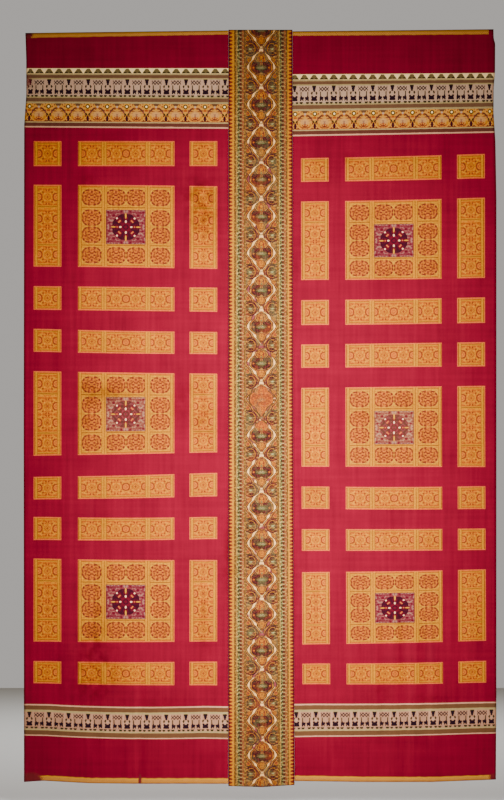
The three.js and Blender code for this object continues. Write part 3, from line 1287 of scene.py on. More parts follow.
@dataclass(frozen=True)
class DarkSquareFinish(SilkFinish):
    """The dark square in a tall block: a plum rosette with pale drops, on a mauve or brown ground."""

    leaves: Spots = (
        Spot(70, 66, 8.5),
        Spot(97, 24, 6),
        Spot(26, 89, 6),
        Spot(101, 86, 7),
    )
    drops: Spots = (
        Spot(31.5, 0, 4.7, Dye.PEARL, narrow=0.7),
        Spot(0, 31, 5, Dye.PEARL, flat=0.66),
        Spot(50, 0, 4.2, Dye.CORAL),
        Spot(0, 65, 4.6, Dye.PALE_GOLD, flat=0.28),
        Spot(72, 0, 3.7, Dye.PALE_GOLD, narrow=0.28),
        Spot(51, 50, 5, Dye.PEARL),
    )
    bar: Pair = (37.0, 32.0)
    rosette: float = 80.0
    notch: float = 2.4

    def draw(self, draft: Draft, shared: SharedEffects, along: Field, down: Field) -> Any:
        """Folds the square both ways, and lays eight petals round the middle with drops between them."""
        x = abs(along - SQUARE_WIDE / 2)
        y = abs(down - SQUARE_TALL / 2)
        state = draft.node("ShaderNodeAttribute", attribute_name=STATE)
        other_dye = Field(draft, state.outputs["Alpha"])
        ground = draft.blend(other_dye, Dye.UMBER_GROUND, Dye.MAUVE)
        plum = draft.blend(other_dye, Dye.FADED_PLUM, Dye.PLUM)
        petals = draft.blend(other_dye, Dye.FADED_WINE, Dye.WINE)
        blotch = draft.filigree(x, y, 15.0)
        palette = Palette(draft, ground)
        palette.lay(blotch.over(0.53, 0.14) * 0.55, petals)
        palette.lay(blotch.under(0.43, 0.1) * 0.35, Dye.BAND_CREAM)
        palette.lay(draft.filigree(x, y, 10.0).over(0.56, 0.08) * 0.6, petals)
        palette.lay_spots(x, y, self.leaves, thread=petals)
        palette.lay((x.over(111.0) | y.over(96.0)) * 0.6, plum)
        radius = draft.distance(x, y * 1.06)
        turn = draft.angle(x, y)
        notches = draft.math("COSINE", turn * 8.0)
        edge = radius + notches * self.notch
        palette.lay(edge.under(self.rosette), plum)
        palette.lay(edge.under(self.rosette - 10.0, 5.0) & notches.over(-0.5, 0.8) * 0.8, petals)
        palette.lay(edge.under(self.rosette - 4.0) & draft.filigree(x, y, 11.0).over(0.56, 0.08), plum)
        palette.lay(radius.under(30.0, 6.0), petals)
        palette.lay(radius.near(13.0, 3.4), plum)
        faded = draft.filigree(x, y, 13.0).under(0.44, 0.1)
        palette.lay(other_dye & faded & edge.under(self.rosette) * 0.6, Dye.MAUVE)
        palette.lay(other_dye & edge.near(self.rosette, 2.4) * 0.6, Dye.WINE)
        palette.lay(notches.over(0.72, 0.2) & radius.near(60.0, 22.0), petals)
        palette.lay_spots(x, y, self.drops)
        from_bar = (x - self.bar[0], y - self.bar[1])
        across_bar, along_bar = abs(from_bar[0] + from_bar[1]), abs(from_bar[0] - from_bar[1])
        palette.lay(across_bar.under(6.0) & along_bar.under(13.0), Dye.CORAL)
        return palette.colour


@dataclass(frozen=True)
class BorderFinish(SilkFinish):
    """A border across a panel: stripes, with the charted figures between two of them."""

    full: float = FOOT_BORDER_TALL
    figure_start: float = 45.0
    figure_tall: float = 99.0
    figure_shift: float = 2.2
    grain: float = 0.35
    stripes: Stops = (
        (0.0, Dye.FOOT_CREAM),
        (8.0, Dye.FOOT_UMBER),
        (32.5, Dye.TAN),
        (45.0, Dye.FOOT_GROUND),
        (144.0, Dye.TAN),
        (154.0, Dye.FOOT_UMBER),
        (180.0, Dye.FOOT_CREAM),
    )

    def draw(self, draft: Draft, shared: SharedEffects, along: Field, down: Field) -> Any:
        """Lays the stripes by their place down the border, and the figures over the widest."""
        palette = Palette(draft, draft.layers(down, self.full, self.stripes))
        place = (down - self.figure_start) * (FIGURE_TALL / self.figure_tall)
        figures = draft.use(shared.figures, Along=along - self.figure_shift, Down=place)
        palette.lay(Field(draft, figures["Post"]) * 0.4, Dye.FOOT_CREAM)
        palette.lay(Field(draft, figures["Pale"]) * 0.5, Dye.BAND_CREAM)
        palette.lay(Field(draft, figures["Lattice"]), Dye.INK)
        ink = draft.blend(Field(draft, figures["Olive"]), Dye.OLIVE_INK, Dye.INK)
        palette.lay(Field(draft, figures["Dark"]), ink)
        return palette.colour


@dataclass(frozen=True)
class TopBorderFinish(BorderFinish):
    """The deeper border at the top, which adds a row of merlons and a gold arcade.

    The arcade's marks lie below its start, across from the arches' middle or from the stems between them.
    """

    full: float = TOP_BORDER_TALL
    figure_start: float = 63.0
    figure_tall: float = 102.0
    stripes: Stops = (
        (0.0, Dye.CREAM),
        (29.5, Dye.TAN),
        (37.5, Dye.UMBER),
        (55.5, Dye.TAN),
        (63.0, Dye.BAND_CREAM),
        (160.0, Dye.TAN),
        (170.0, Dye.UMBER),
        (192.0, Dye.TAN),
        (202.0, Dye.STRIPE_GOLD),
        (306.0, Dye.TAN),
        (313.0, Dye.DARK_UMBER),
        (333.0, Dye.FOOT_CREAM),
    )
    merlon_tall: float = 29.5
    arcade_start: float = 203.0
    arcade_tall: float = 104.0
    arcade_shift: float = 3.3
    arch_low: float = 62.0
    fan_low: float = 102.0
    haze: Spots = (Spot(0, 62, 24, Dye.BAND_CREAM, show=0.3, flat=1.5, soft=16),)
    buds: Spots = (Spot(24, 80, 10.5, Dye.BRIGHT_GOLD, narrow=1.6),)
    arch_marks: Spots = (
        Spot(0, 88, 5, Dye.BRICK),
        Spot(39, 50, 4.6, Dye.MAUVE),
        Spot(0, 19, 6.4, Dye.BAND_CREAM),
    )
    stem_marks: Spots = (
        Spot(13, 72, 4.2, Dye.BRICK),
        Spot(16, 97, 4.4, Dye.BRICK),
        Spot(21.5, 17, 4.4, Dye.RUST),
        Spot(0, 17, 17.5, Dye.PALE_GOLD, show=0.5),
        Spot(0, 17, 13, Dye.OLIVE_BROWN),
        Spot(0, 17, 3, Dye.OLIVE_INK, ring=9),
        Spot(0, 17, 6.4, Dye.CREAM),
    )

    def draw(self, draft: Draft, shared: SharedEffects, along: Field, down: Field) -> Any:
        """Adds the merlons above the figures and the arcade below them."""
        palette = Palette(draft, super().draw(draft, shared, along, down))
        self.draw_merlons(palette, along, down)
        self.draw_arcade(palette, along, down)
        return palette.colour

    def draw_merlons(self, palette: Palette, along: Field, down: Field) -> None:
        """Blunt triangles with dark feet: each is on where its side distance is below its width."""
        side = (along - self.figure_shift).folded(FIGURE_PITCH / 4)
        band = down.under(self.merlon_tall)
        shape = (side - down * 0.7).under(6.0) & down.over(3.0)
        palette.lay(shape & band, Dye.OLIVE_GREEN)
        palette.lay(band & down.near(24.2, 3.3) & side.near(13.6, 8.2), Dye.OLIVE_INK)

    def draw_arcade(self, palette: Palette, along: Field, down: Field) -> None:
        """Arched medallions with a dot and a branching stem between each pair, mirrored about both axes."""
        draft = palette.draft
        stem = (along - self.figure_shift - self.arcade_shift).folded(FIGURE_PITCH / 2)
        arch = FIGURE_PITCH / 2 - stem
        low = down - self.arcade_start
        inside = low.over(0.0) & low.under(self.arcade_tall)
        fine = draft.filigree(stem, low, 12.0)
        palette.lay(inside & fine.over(0.56, 0.1) * 0.8, Dye.BRICK)
        palette.lay(inside & fine.under(0.42, 0.1) * 0.6, Dye.PALE_GOLD)
        palette.lay(inside & stem.under(9.5) & low.near(39.0, 6.0), Dye.ORANGE)
        palette.lay_spots(arch, low, self.haze, inside)
        palette.lay_spots(stem, low, self.buds, inside)
        fan = draft.distance(arch, low - self.fan_low)
        rays = (draft.angle(arch, low - self.fan_low) * 11.0).sine().over(-0.3, 0.6)
        palette.lay(inside & fan.under(29.0) & rays, Dye.ORANGE)
        palette.lay(inside & fan.near(15.0, 3.5) & rays, Dye.BRICK)
        shoulder = draft.distance(arch, low - self.arch_low).near(38.5, 4.4) & low.under(47.0)
        palette.lay(inside & shoulder * 0.7, Dye.RUST)
        palette.lay(inside & shoulder & arch.over(13.0), Dye.DARK_UMBER)
        palette.lay(inside & (arch + low * 0.6).under(19.0) & low.under(13.5), Dye.FOOT_UMBER)
        palette.lay_spots(arch, low, self.arch_marks, inside)
        branch = abs(stem - 12.5 + (low - 56.0) * 0.7).under(4.8) & low.near(61.0, 7.0)
        trunk = stem.under(6.4) & low.over(70.0) & low.under(101.0)
        palette.lay(inside & trunk, Dye.PLUM)
        palette.lay(inside & branch, Dye.OLIVE_INK)
        palette.lay_spots(stem, low, self.stem_marks, inside)


STRIP_HALF = 190.0
FIELD_LEFT = -87.0
FIELD_RIGHT = 96.0
FIELD_HALF = (FIELD_RIGHT - FIELD_LEFT) / 2
FIELD_MIDDLE = (FIELD_RIGHT + FIELD_LEFT) / 2
CHAIN_PITCH = 205.0
TOOTH_PITCH = 20.6
LEAF_PITCH = 22.4


@dataclass(frozen=True)
class StripEdgeFinish(SilkFinish):
    """The borders of the strip: gold teeth on crimson, a row of leaves, and lines.

    The leaf rows of both borders face the same way, so they are measured from their own left sides, which lie
    at leaf_starts. right_squeeze fits the right one into its narrower border.
    """

    grain: float = 1.3
    leaf_starts: Pair = (-156.0, FIELD_RIGHT)
    right_squeeze: float = 1.06
    right_teeth: float = 160.0
    row_lines: Stops = (
        (0.0, Dye.STRIP_BROWN),
        (11.5, Dye.STRIP_TAN),
        (15.5, Dye.SAGE),
        (44.5, Dye.STRIP_TAN),
        (47.0, Dye.STRIP_PINK),
        (57.5, Dye.STRIP_BROWN),
        (67.0, Dye.STRIP_TAN),
    )
    row_full: float = 70.0

    def draw(self, draft: Draft, shared: SharedEffects, along: Field, down: Field) -> Any:
        """Teeth by their depth from the strip's edge, and the leaf row by its own width."""
        is_left = along.step("LESS_THAN", 0.0)
        depth = STRIP_HALF - abs(along)
        from_left = along - self.leaf_starts[0]
        row = is_left.choose(from_left, (along - self.leaf_starts[1]) * self.right_squeeze)
        palette = Palette(draft, draft.layers(row, self.row_full, self.row_lines))
        fine = draft.filigree(row, down, 11.0)
        palette.lay(fine.over(0.55, 0.08) * 0.8, Dye.STRIP_BROWN)
        palette.lay(fine.under(0.42, 0.08) * 0.45, Dye.STRIP_CREAM)
        slant = (down + row * 0.85).wrapped(LEAF_PITCH)
        palette.lay(row.near(16.6, 1.8) * 0.7, Dye.STRIP_CREAM)
        vein = abs(slant).under(3.0) & row.near(20.0, 4.0)
        palette.lay(vein & fine.under(0.54, 0.1), Dye.LEAF_CREAM)
        palette.lay(fine.over(0.5, 0.1) & row.near(26.0, 8.0) * 0.9, Dye.OLIVE_INK)
        palette.lay(abs(slant).over(8.2) & row.near(28.0, 5.0) * 0.5, Dye.OLIVE_INK)
        palette.lay(abs(slant - 1.0).under(2.4) & row.near(29.0, 3.0) * 0.5, Dye.LEAF_CREAM)
        dash = down.wrapped(LEAF_PITCH)
        palette.lay(row.near(38.5, 6.6), Dye.STRIP_BROWN)
        palette.lay(abs(dash).under(2.0) & row.near(38.0, 6.0) * 0.8, Dye.LEAF_CREAM)
        palette.lay(abs(abs(dash) - 6.4).under(2.6) & row.near(38.0, 5.0) * 0.7, Dye.WINE)
        palette.lay(abs(dash).over(9.0) & row.near(37.0, 7.0), Dye.OLIVE_INK)
        other_slant = (down - row * 0.85 + 6.0).wrapped(LEAF_PITCH)
        palette.lay(draft.distance(row - 52.0, other_slant).under(4.4) * 0.8, Dye.RUST)
        tooth = down.folded(TOOTH_PITCH / 2)
        in_teeth = is_left.choose(from_left, self.right_teeth - along).under(0.0)
        palette.lay(in_teeth, Dye.DEEP_CRIMSON)
        palette.lay(in_teeth & depth.over(8.0), Dye.BRICK)
        palette.lay((tooth - (depth - 3.0) * 0.42).under(0.0) & in_teeth, Dye.STRIP_GOLD)
        palette.lay(tooth.under(3.0) & depth.near(17.0, 8.0) & in_teeth * 0.6, Dye.BRIGHT_GOLD)
        palette.lay(depth.near(27.6, 3.6) & in_teeth * 0.5, Dye.PALE_GOLD)
        return palette.colour


# Down each medallion from one crossing to the next: how far out the strap lies, in shares of half the field.
STRAP_REACH = (
    (0.0, 0.0), (0.045, 0.11), (0.085, 0.24), (0.12, 0.36), (0.155, 0.45), (0.195, 0.505),
    (0.24, 0.545), (0.275, 0.60), (0.315, 0.70), (0.36, 0.785), (0.41, 0.83), (0.46, 0.85),
    (0.50, 0.835), (0.545, 0.78), (0.59, 0.685), (0.63, 0.575), (0.67, 0.48), (0.71, 0.42),
    (0.75, 0.38), (0.79, 0.31), (0.84, 0.21), (0.90, 0.10), (1.0, 0.0),
)
# And half the strap's width, in shares of the widest.
STRAP_WIDTH = (
    (0.0, 0.3), (0.06, 0.26), (0.12, 0.5), (0.18, 0.9), (0.235, 0.9), (0.265, 0.42),
    (0.31, 0.3), (0.39, 0.5), (0.46, 0.86), (0.51, 0.5), (0.57, 0.32), (0.65, 0.44),
    (0.70, 1.0), (0.745, 0.86), (0.775, 0.24), (0.90, 0.16), (1.0, 0.3),
)
STRAP_WIDEST = 7.2


@dataclass(frozen=True)
class StripFieldFinish(SilkFinish):
    """The field of the strip: a chain of ogee medallions bound by a pale strap, with flowers in and around.

    The strap is worn away over one repeat: lost_middle and lost_half say where, down the design. Marks lie
    across from the chain's middle and down from the crossing above. Brackets, leaves and eyes lie up or down
    from the nearest crossing, crossing_low below it. leaf_lean is how far the leaves lean outwards.
    """

    grain: float = 1.4
    lost_middle: float = 2186.0
    lost_half: float = 112.0
    crossing_low: float = -5.0
    leaf_lean: float = 0.3
    roundel_marks: Spots = (
        Spot(0, 45, 27, Dye.OLIVE_BROWN),
        Spot(0, 45, 23.5, Dye.STRIP_GOLD),
        Spot(0, 45, 2.2, Dye.RUST, ring=16),
        Spot(12, 45, 7, Dye.BRICK, narrow=2),
        Spot(0, 60, 5, Dye.SAGE),
    )
    crescent_marks: Spots = (
        Spot(0, 96, 9, Dye.OLIVE_INK, narrow=0.5, ring=24),
        Spot(0, 96, 6, Dye.STRIP_WINE, narrow=0.5, ring=24.5),
        Spot(0, 96, 2, Dye.BRICK, show=0.4, narrow=0.5, ring=25.5),
    )
    cross_marks: Spots = (
        Spot(46, 96, 5, Dye.GOLD),
        Spot(0, 96, 12.4, Dye.OLIVE_INK, narrow=0.34),
        Spot(0, 96, 9.8, Dye.SAGE, narrow=0.34),
        Spot(0, 95, 3.6, Dye.LEAF_CREAM, show=0.7, narrow=0.2),
        Spot(6, 120, 3.6, Dye.OLIVE_INK),
    )
    bracket_marks: Spots = (
        Spot(66, 0, 3, Dye.PLUM, ring=37),
        Spot(66, 0, 2.4, Dye.STRIP_GOLD, ring=30),
    )
    leaf_marks: Spots = (
        Spot(53, 21, 8.4, Dye.OLIVE_INK, narrow=0.6),
        Spot(53, 21, 6.2, Dye.STRIP_WINE, narrow=0.6),
    )
    eye_marks: Spots = (
        Spot(67, 0, 9.4, Dye.STRIP_BROWN, narrow=0.5),
        Spot(67, 0, 7.6, Dye.SAGE, narrow=0.5),
        Spot(67, 0, 3, Dye.LEAF_CREAM, show=0.8, narrow=0.25),
        Spot(78, 5, 3.6, Dye.OLIVE_INK),
        Spot(78, 27, 4.6, Dye.OLIVE_INK),
    )
    gap_marks: Spots = (
        Spot(72, 52, 12, Dye.STRIP_GOLD),
        Spot(72, 52, 1.6, Dye.OLIVE_BROWN, ring=7),
        Spot(80, 142, 13, Dye.STRIP_GOLD, narrow=1.2),
        Spot(80, 142, 9, Dye.RUST, narrow=1.2),
        Spot(80, 142, 4, Dye.STRIP_PINK, narrow=1.2),
    )

    def draw(self, draft: Draft, shared: SharedEffects, along: Field, down: Field) -> Any:
        """Reads the strap's half width and thickness from two smooth curves of the share down each repeat."""
        x = abs(along)
        t = (down / CHAIN_PITCH).step("FRACT")
        low = t * CHAIN_PITCH
        crossing = low.wrapped(CHAIN_PITCH)
        strap = draft.curve(t, STRAP_REACH) * FIELD_HALF
        width = draft.curve(t, STRAP_WIDTH) * STRAP_WIDEST
        from_strap = abs(x - strap) - width
        inside = (x - strap).under(0.0)
        palette = Palette(draft, Dye.STRIP_TAN)
        palette.lay(inside * 0.3, Dye.RUST)
        fine = draft.filigree(x, low, 15.0)
        palette.lay(fine.over(0.51, 0.08) * 0.95, Dye.OLIVE_INK)
        palette.lay(fine.under(0.43, 0.08) * 0.45, Dye.STRIP_CREAM)
        palette.lay(abs(from_strap - 15.5).under(2.8), Dye.PLUM)
        palette.lay(abs(from_strap - 9.5).under(2.0), Dye.STRIP_GOLD)
        self.draw_inside(palette, x, low, inside, fine)
        lost = down.near(self.lost_middle, self.lost_half, 20.0)
        shreds = draft.noise(draft.vector(along / 11.0, down / 11.0, 2.0), 1.0, 1.0)
        palette.lay(lost & inside * 0.6, Dye.ORANGE)
        palette.lay(lost & inside & shreds.over(0.56, 0.1) * 0.5, Dye.GOLD)
        self.draw_outside(palette, x, crossing, low, inside)
        finer = draft.filigree(x, low, 9.0)
        palette.lay(finer.over(0.55, 0.08) * 0.8, Dye.DARK_UMBER)
        tint = draft.noise(draft.vector(along / 50.0, down / 90.0, 5.0), 1.0, 2.0)
        palette.lay(tint.over(0.6, 0.1) * 0.2, Dye.ORANGE)
        palette.lay(tint.under(0.42, 0.1) * 0.3, Dye.SAGE)
        pale = draft.noise(draft.vector(along / 60.0, down / 75.0), 1.0, 1.0)
        thread = draft.blend(pale.over(0.57, 0.06), Dye.MAUVE, Dye.STRAP)
        bell = (x - crossing * 0.4).under(11.4) & crossing.near(-6.0, 13.0)
        rag = draft.blend(shreds.over(0.52, 0.1), Dye.MAUVE, Dye.STRIP_BROWN)
        thread = draft.blend(lost & shreds.under(0.62, 0.06), rag, thread)
        palette.lay(from_strap.under(3.6), Dye.OLIVE_INK)
        palette.lay((x - crossing * 0.43).under(16.6) & crossing.near(-5.0, 15.0), Dye.DARK_UMBER)
        palette.lay(from_strap.under(0.0) | bell, thread)
        palette.lay(bell & crossing.near(-9.0, 3.6) & x.under(7.0) * 0.7, Dye.SAGE)
        return palette.colour

    def draw_inside(self, palette: Palette, x: Field, low: Field, inside: Field, fine: Field) -> None:
        """A gold roundel over a leafed cross-piece between dark crescents, over a gold bud."""
        palette.lay_spots(x, low, self.roundel_marks, inside)
        palette.lay_spots(x, low, self.crescent_marks, inside & x.near(33.0, 25.0))
        palette.lay_spots(x, low, self.cross_marks, inside)
        leaf = palette.draft.distance(x * 0.34, low - 96.0)
        palette.lay(inside & leaf.under(9.8) & fine.over(0.52, 0.1) * 0.6, Dye.STRIP_BROWN)
        bud = x + abs(low - 148.0) * 0.5
        palette.lay(inside & bud.under(22.0) & low.near(152.0, 20.0), Dye.OLIVE_BROWN)
        palette.lay(inside & bud.under(18.5) & low.near(153.0, 18.0), Dye.STRIP_GOLD)
        palette.lay(inside & low.over(172.0) * 0.6, Dye.PLUM)

    def draw_outside(self, palette: Palette, x: Field, crossing: Field, low: Field, inside: Field) -> None:
        """A sage eye between dark leaves beside each crossing, and gold patches between medallions."""
        outside = inside.off()
        level = abs(crossing - self.crossing_low)
        palette.lay_spots(x, level, self.bracket_marks, outside)
        palette.lay_spots(x - level * self.leaf_lean, level, self.leaf_marks, outside)
        palette.lay_spots(x, level, self.eye_marks, outside)
        palette.lay_spots(x, low, self.gap_marks, outside)


@dataclass(frozen=True)
class SewingThreadFinish(SilkFinish):
    """The dark red thread of the seams."""

    def draw(self, draft: Draft, shared: SharedEffects, along: Field, down: Field) -> Any:
        """Deep crimson all over."""
        return Dye.DEEP_CRIMSON


@dataclass(frozen=True)
class StageFinish:
    """The plain matt finish of the floor."""

    name: str
    tone: float

    def build(self) -> bpy.types.Material:
        """Makes the material, plain and matt."""
        material = bpy.data.materials.new(self.name)
        material.use_nodes = True
        shader = material.node_tree.nodes["Principled BSDF"]
        shader.inputs["Base Color"].default_value = (self.tone, self.tone, self.tone * 0.98, 1.0)
        shader.inputs["Roughness"].default_value = 0.9
        return material


class Wardrobe:
    """Every finish of the curtain, built once and handed out by region."""

    def __init__(self) -> None:
        """Builds the shared groups and each region's material."""
        shared = SharedEffects()
        self.finishes = {
            Region.GROUND: SilkFinish("crimson_ground", streaks=0.65, grain=0.12),
            Region.END_STRIPE: EndStripeFinish("gold_end_stripe", streaks=0.3),
            Region.TOP_BORDER: TopBorderFinish("top_border", streaks=0.4),
            Region.FOOT_BORDER: BorderFinish("foot_border", streaks=0.4),
            Region.SMALL_BLOCK: SmallBlockFinish("small_gold_block"),
            Region.NARROW_BLOCK: NarrowBlockFinish("narrow_gold_block"),
            Region.SHORT_BLOCK: ShortBlockFinish("short_gold_block"),
            Region.TALL_BLOCK: TallBlockFinish("tall_gold_block"),
            Region.DARK_SQUARE: DarkSquareFinish("dark_square", streaks=0.4),
            Region.STRIP_EDGE: StripEdgeFinish("strip_edge", streaks=0.4),
            Region.STRIP_FIELD: StripFieldFinish("strip_field", streaks=0.4),
        }
        self.materials = {region: finish.build(shared) for region, finish in self.finishes.items()}
        self.thread = SewingThreadFinish("sewing_thread").build(shared)


# Building the cloth


def add_object(name: str, data: Any) -> bpy.types.Object:
    """Puts a mesh, camera or lamp into the scene, at the origin."""
    made = bpy.data.objects.new(name, data)
    bpy.context.scene.collection.objects.link(made)
    return made


@dataclass
class Grid:
    """One sheet worked out as whole arrays.

    x and drop are its lines' crossings in millimetres, rows going down and columns to the right. region is
    the kind of each cell. left, right, top and low are each cell's place in the woven design. dye marks
    points of another dye.
    """

    x: Array
    drop: Array
    region: Array
    left: Array
    right: Array
    top: Array
    low: Array
    dye: Array


class ClothMaker:
    """Turns a grid into a thin closed sheet that hangs on the ripples.

    On its map for baking, the back takes bake_back_share of the height, every part stays bake_inset from the
    border, and the rim lies in the strip from rim_low to rim_high.
    """

    bake_back_share: float = 0.16
    bake_inset: float = 0.004
    back_margin: float = 0.03
    front_low: float = 0.002
    rim_low: float = 0.992
    rim_high: float = 0.998

    def __init__(self, hang: Hang, wardrobe: Wardrobe) -> None:
        """Keeps how the cloth hangs and its finishes."""
        self.hang = hang
        self.wardrobe = wardrobe

    def make(self, name: str, grid: Grid) -> bpy.types.Object:
        """Builds the sheet.

        The front is at -(proud + half the thickness), the back that thickness behind it, a rim between them.

        Args:
            name: the piece's name.
            grid: its arrays.

        Returns:
            The new object, at the origin.
        """
        rows, columns = grid.x.shape
        proud = self.hang.proud(grid.x, grid.drop)
        layers = []
        for side in (-1.0, 1.0):
            depth = -proud + side * CLOTH_THICKNESS / 2
            layers.append(np.stack((grid.x, depth, -grid.drop), axis=-1).reshape(-1, 3) * MM)
        number = np.arange(rows * columns).reshape(rows, columns)
        low_left, low_right = number[1:, :-1], number[1:, 1:]
        top_right, top_left = number[:-1, 1:], number[:-1, :-1]
        front = np.stack((low_left, low_right, top_right, top_left), axis=-1).reshape(-1, 4)
        back = front[:, ::-1] + rows * columns
        rim_start, rim_end = self.outline(number)
        rim = np.stack((rim_end, rim_start, rim_start + rows * columns, rim_end + rows * columns), axis=-1)
        faces = np.concatenate((front, back, rim))

        mesh = bpy.data.meshes.new(name)
        mesh.from_pydata(np.concatenate(layers), [], faces)
        used = sorted(set(grid.region.ravel().tolist()))
        for region in used:
            mesh.materials.append(self.wardrobe.materials[Region(region)])
        slots = np.searchsorted(used, grid.region.ravel())
        rim_slots = np.zeros(len(rim), int)
        slots = np.concatenate((slots, slots, rim_slots)).astype(np.int32)
        mesh.polygons.foreach_set("material_index", slots)
        mesh.polygons.foreach_set("use_smooth", np.ones(len(faces), bool))
        self.add_weave_map(mesh, grid, len(rim))
        self.add_bake_map(mesh, grid, len(rim))
        self.add_state(mesh, grid)
        mesh.update()
        return add_object(name, mesh)

    @staticmethod
    def outline(number: Array) -> tuple[Array, Array]:
        """The sheet's rim as point numbers, anticlockwise as the front shows it, with each one's follower."""
        loop = np.concatenate((number[-1, :-1], number[:0:-1, -1], number[0, :0:-1], number[:-1, 0]))
        return loop, np.roll(loop, -1)

    @staticmethod
    def set_map(mesh: bpy.types.Mesh, name: str, corners: Array) -> None:
        """Writes one UV map from its corners in the order of the faces."""
        layer = mesh.uv_layers.new(name=name, do_init=False)
        layer.uv.foreach_set("vector", corners.astype(np.float32).ravel())

    def add_weave_map(self, mesh: bpy.types.Mesh, grid: Grid, rim: int) -> None:
        """Gives every corner its place in the woven design, in millimetres, the same on both sides."""
        u = np.stack((grid.left, grid.right, grid.right, grid.left), axis=-1)
        v = np.stack((grid.low, grid.low, grid.top, grid.top), axis=-1)
        front = np.stack((u, v), axis=-1).reshape(-1, 4, 2)
        self.set_map(mesh, WEAVE_MAP, np.concatenate((front, front[:, ::-1], np.zeros((rim, 4, 2)))))

    def add_bake_map(self, mesh: bpy.types.Mesh, grid: Grid, rim: int) -> None:
        """Lays the sheet flat for baking: its upper and lower half side by side, the back pressed above."""
        rows, columns = grid.x.shape
        across = np.linspace(0.0, 1.0, columns)
        down = (grid.drop - grid.drop.min()) / (grid.drop.max() - grid.drop.min())
        middle = int(np.argmin(np.abs(down[:, 0] - 0.5)))
        lower = (np.arange(rows - 1) >= middle).astype(float)[:, None]
        split = down[middle].mean()
        height = np.where(lower > 0, 1.0 - split, split)
        start = np.where(lower > 0, split, 0.0)
        left = (across[:-1][None, :] + lower) / 2 + np.zeros((rows - 1, 1))
        right = (across[1:][None, :] + lower) / 2 + np.zeros((rows - 1, 1))
        inset = self.bake_inset
        left, right = (inset + side * (1.0 - 2 * inset) for side in (left, right))
        front_top = 1.0 - self.bake_back_share - inset
        v_top = front_top * (1.0 - (down[:-1, :-1] - start) / height)
        v_low = front_top * (1.0 - (down[1:, :-1] - start) / height)
        u = np.stack((left, right, right, left), axis=-1)
        v = np.stack((v_low, v_low, v_top, v_top), axis=-1)
        front = np.stack((u, np.clip(v, self.front_low, 1.0)), axis=-1).reshape(-1, 4, 2)
        back = front.copy()
        pressed = (self.bake_back_share - self.back_margin) / front_top
        back[..., 1] = 1.0 - self.bake_back_share + back[..., 1] * pressed
        rim_map = np.zeros((rim, 4, 2))
        step = np.arange(rim) / rim
        rim_map[:, :, 0] = np.stack((step, step + 1.0 / rim, step + 1.0 / rim, step), axis=-1)
        rim_map[:, :, 1] = (self.rim_low, self.rim_low, self.rim_high, self.rim_high)
        self.set_map(mesh, BAKE_MAP, np.concatenate((front, back[:, ::-1], rim_map)))

    @staticmethod
    def add_state(mesh: bpy.types.Mesh, grid: Grid) -> None:
        """Paints each point's state: stain in red, wear in green, the back in blue, another dye in alpha."""
        stain = patch_over(STAINS, grid.x, grid.drop).ravel()
        worn = patch_over(WORN_PATCHES, grid.x, grid.drop).ravel()
        sides = []
        for back in (0.0, 1.0):
            sides.append(np.stack((stain, worn, np.full(stain.size, back), grid.dye.ravel()), axis=-1))
        layer = mesh.attributes.new(STATE, "FLOAT_COLOR", "POINT")
        layer.data.foreach_set("color", np.concatenate(sides).astype(np.float32).ravel())


def stepped(bounds: Sequence[float], step: float) -> Array:
    """Grid lines through every bound, with even steps no longer than step between them."""
    lines = [np.array([float(bounds[0])])]
    for start, end in zip(bounds[:-1], bounds[1:]):
        count = max(1, math.ceil((end - start) / step))
        lines.append(np.linspace(start, end, count + 1)[1:])
    return np.concatenate(lines)


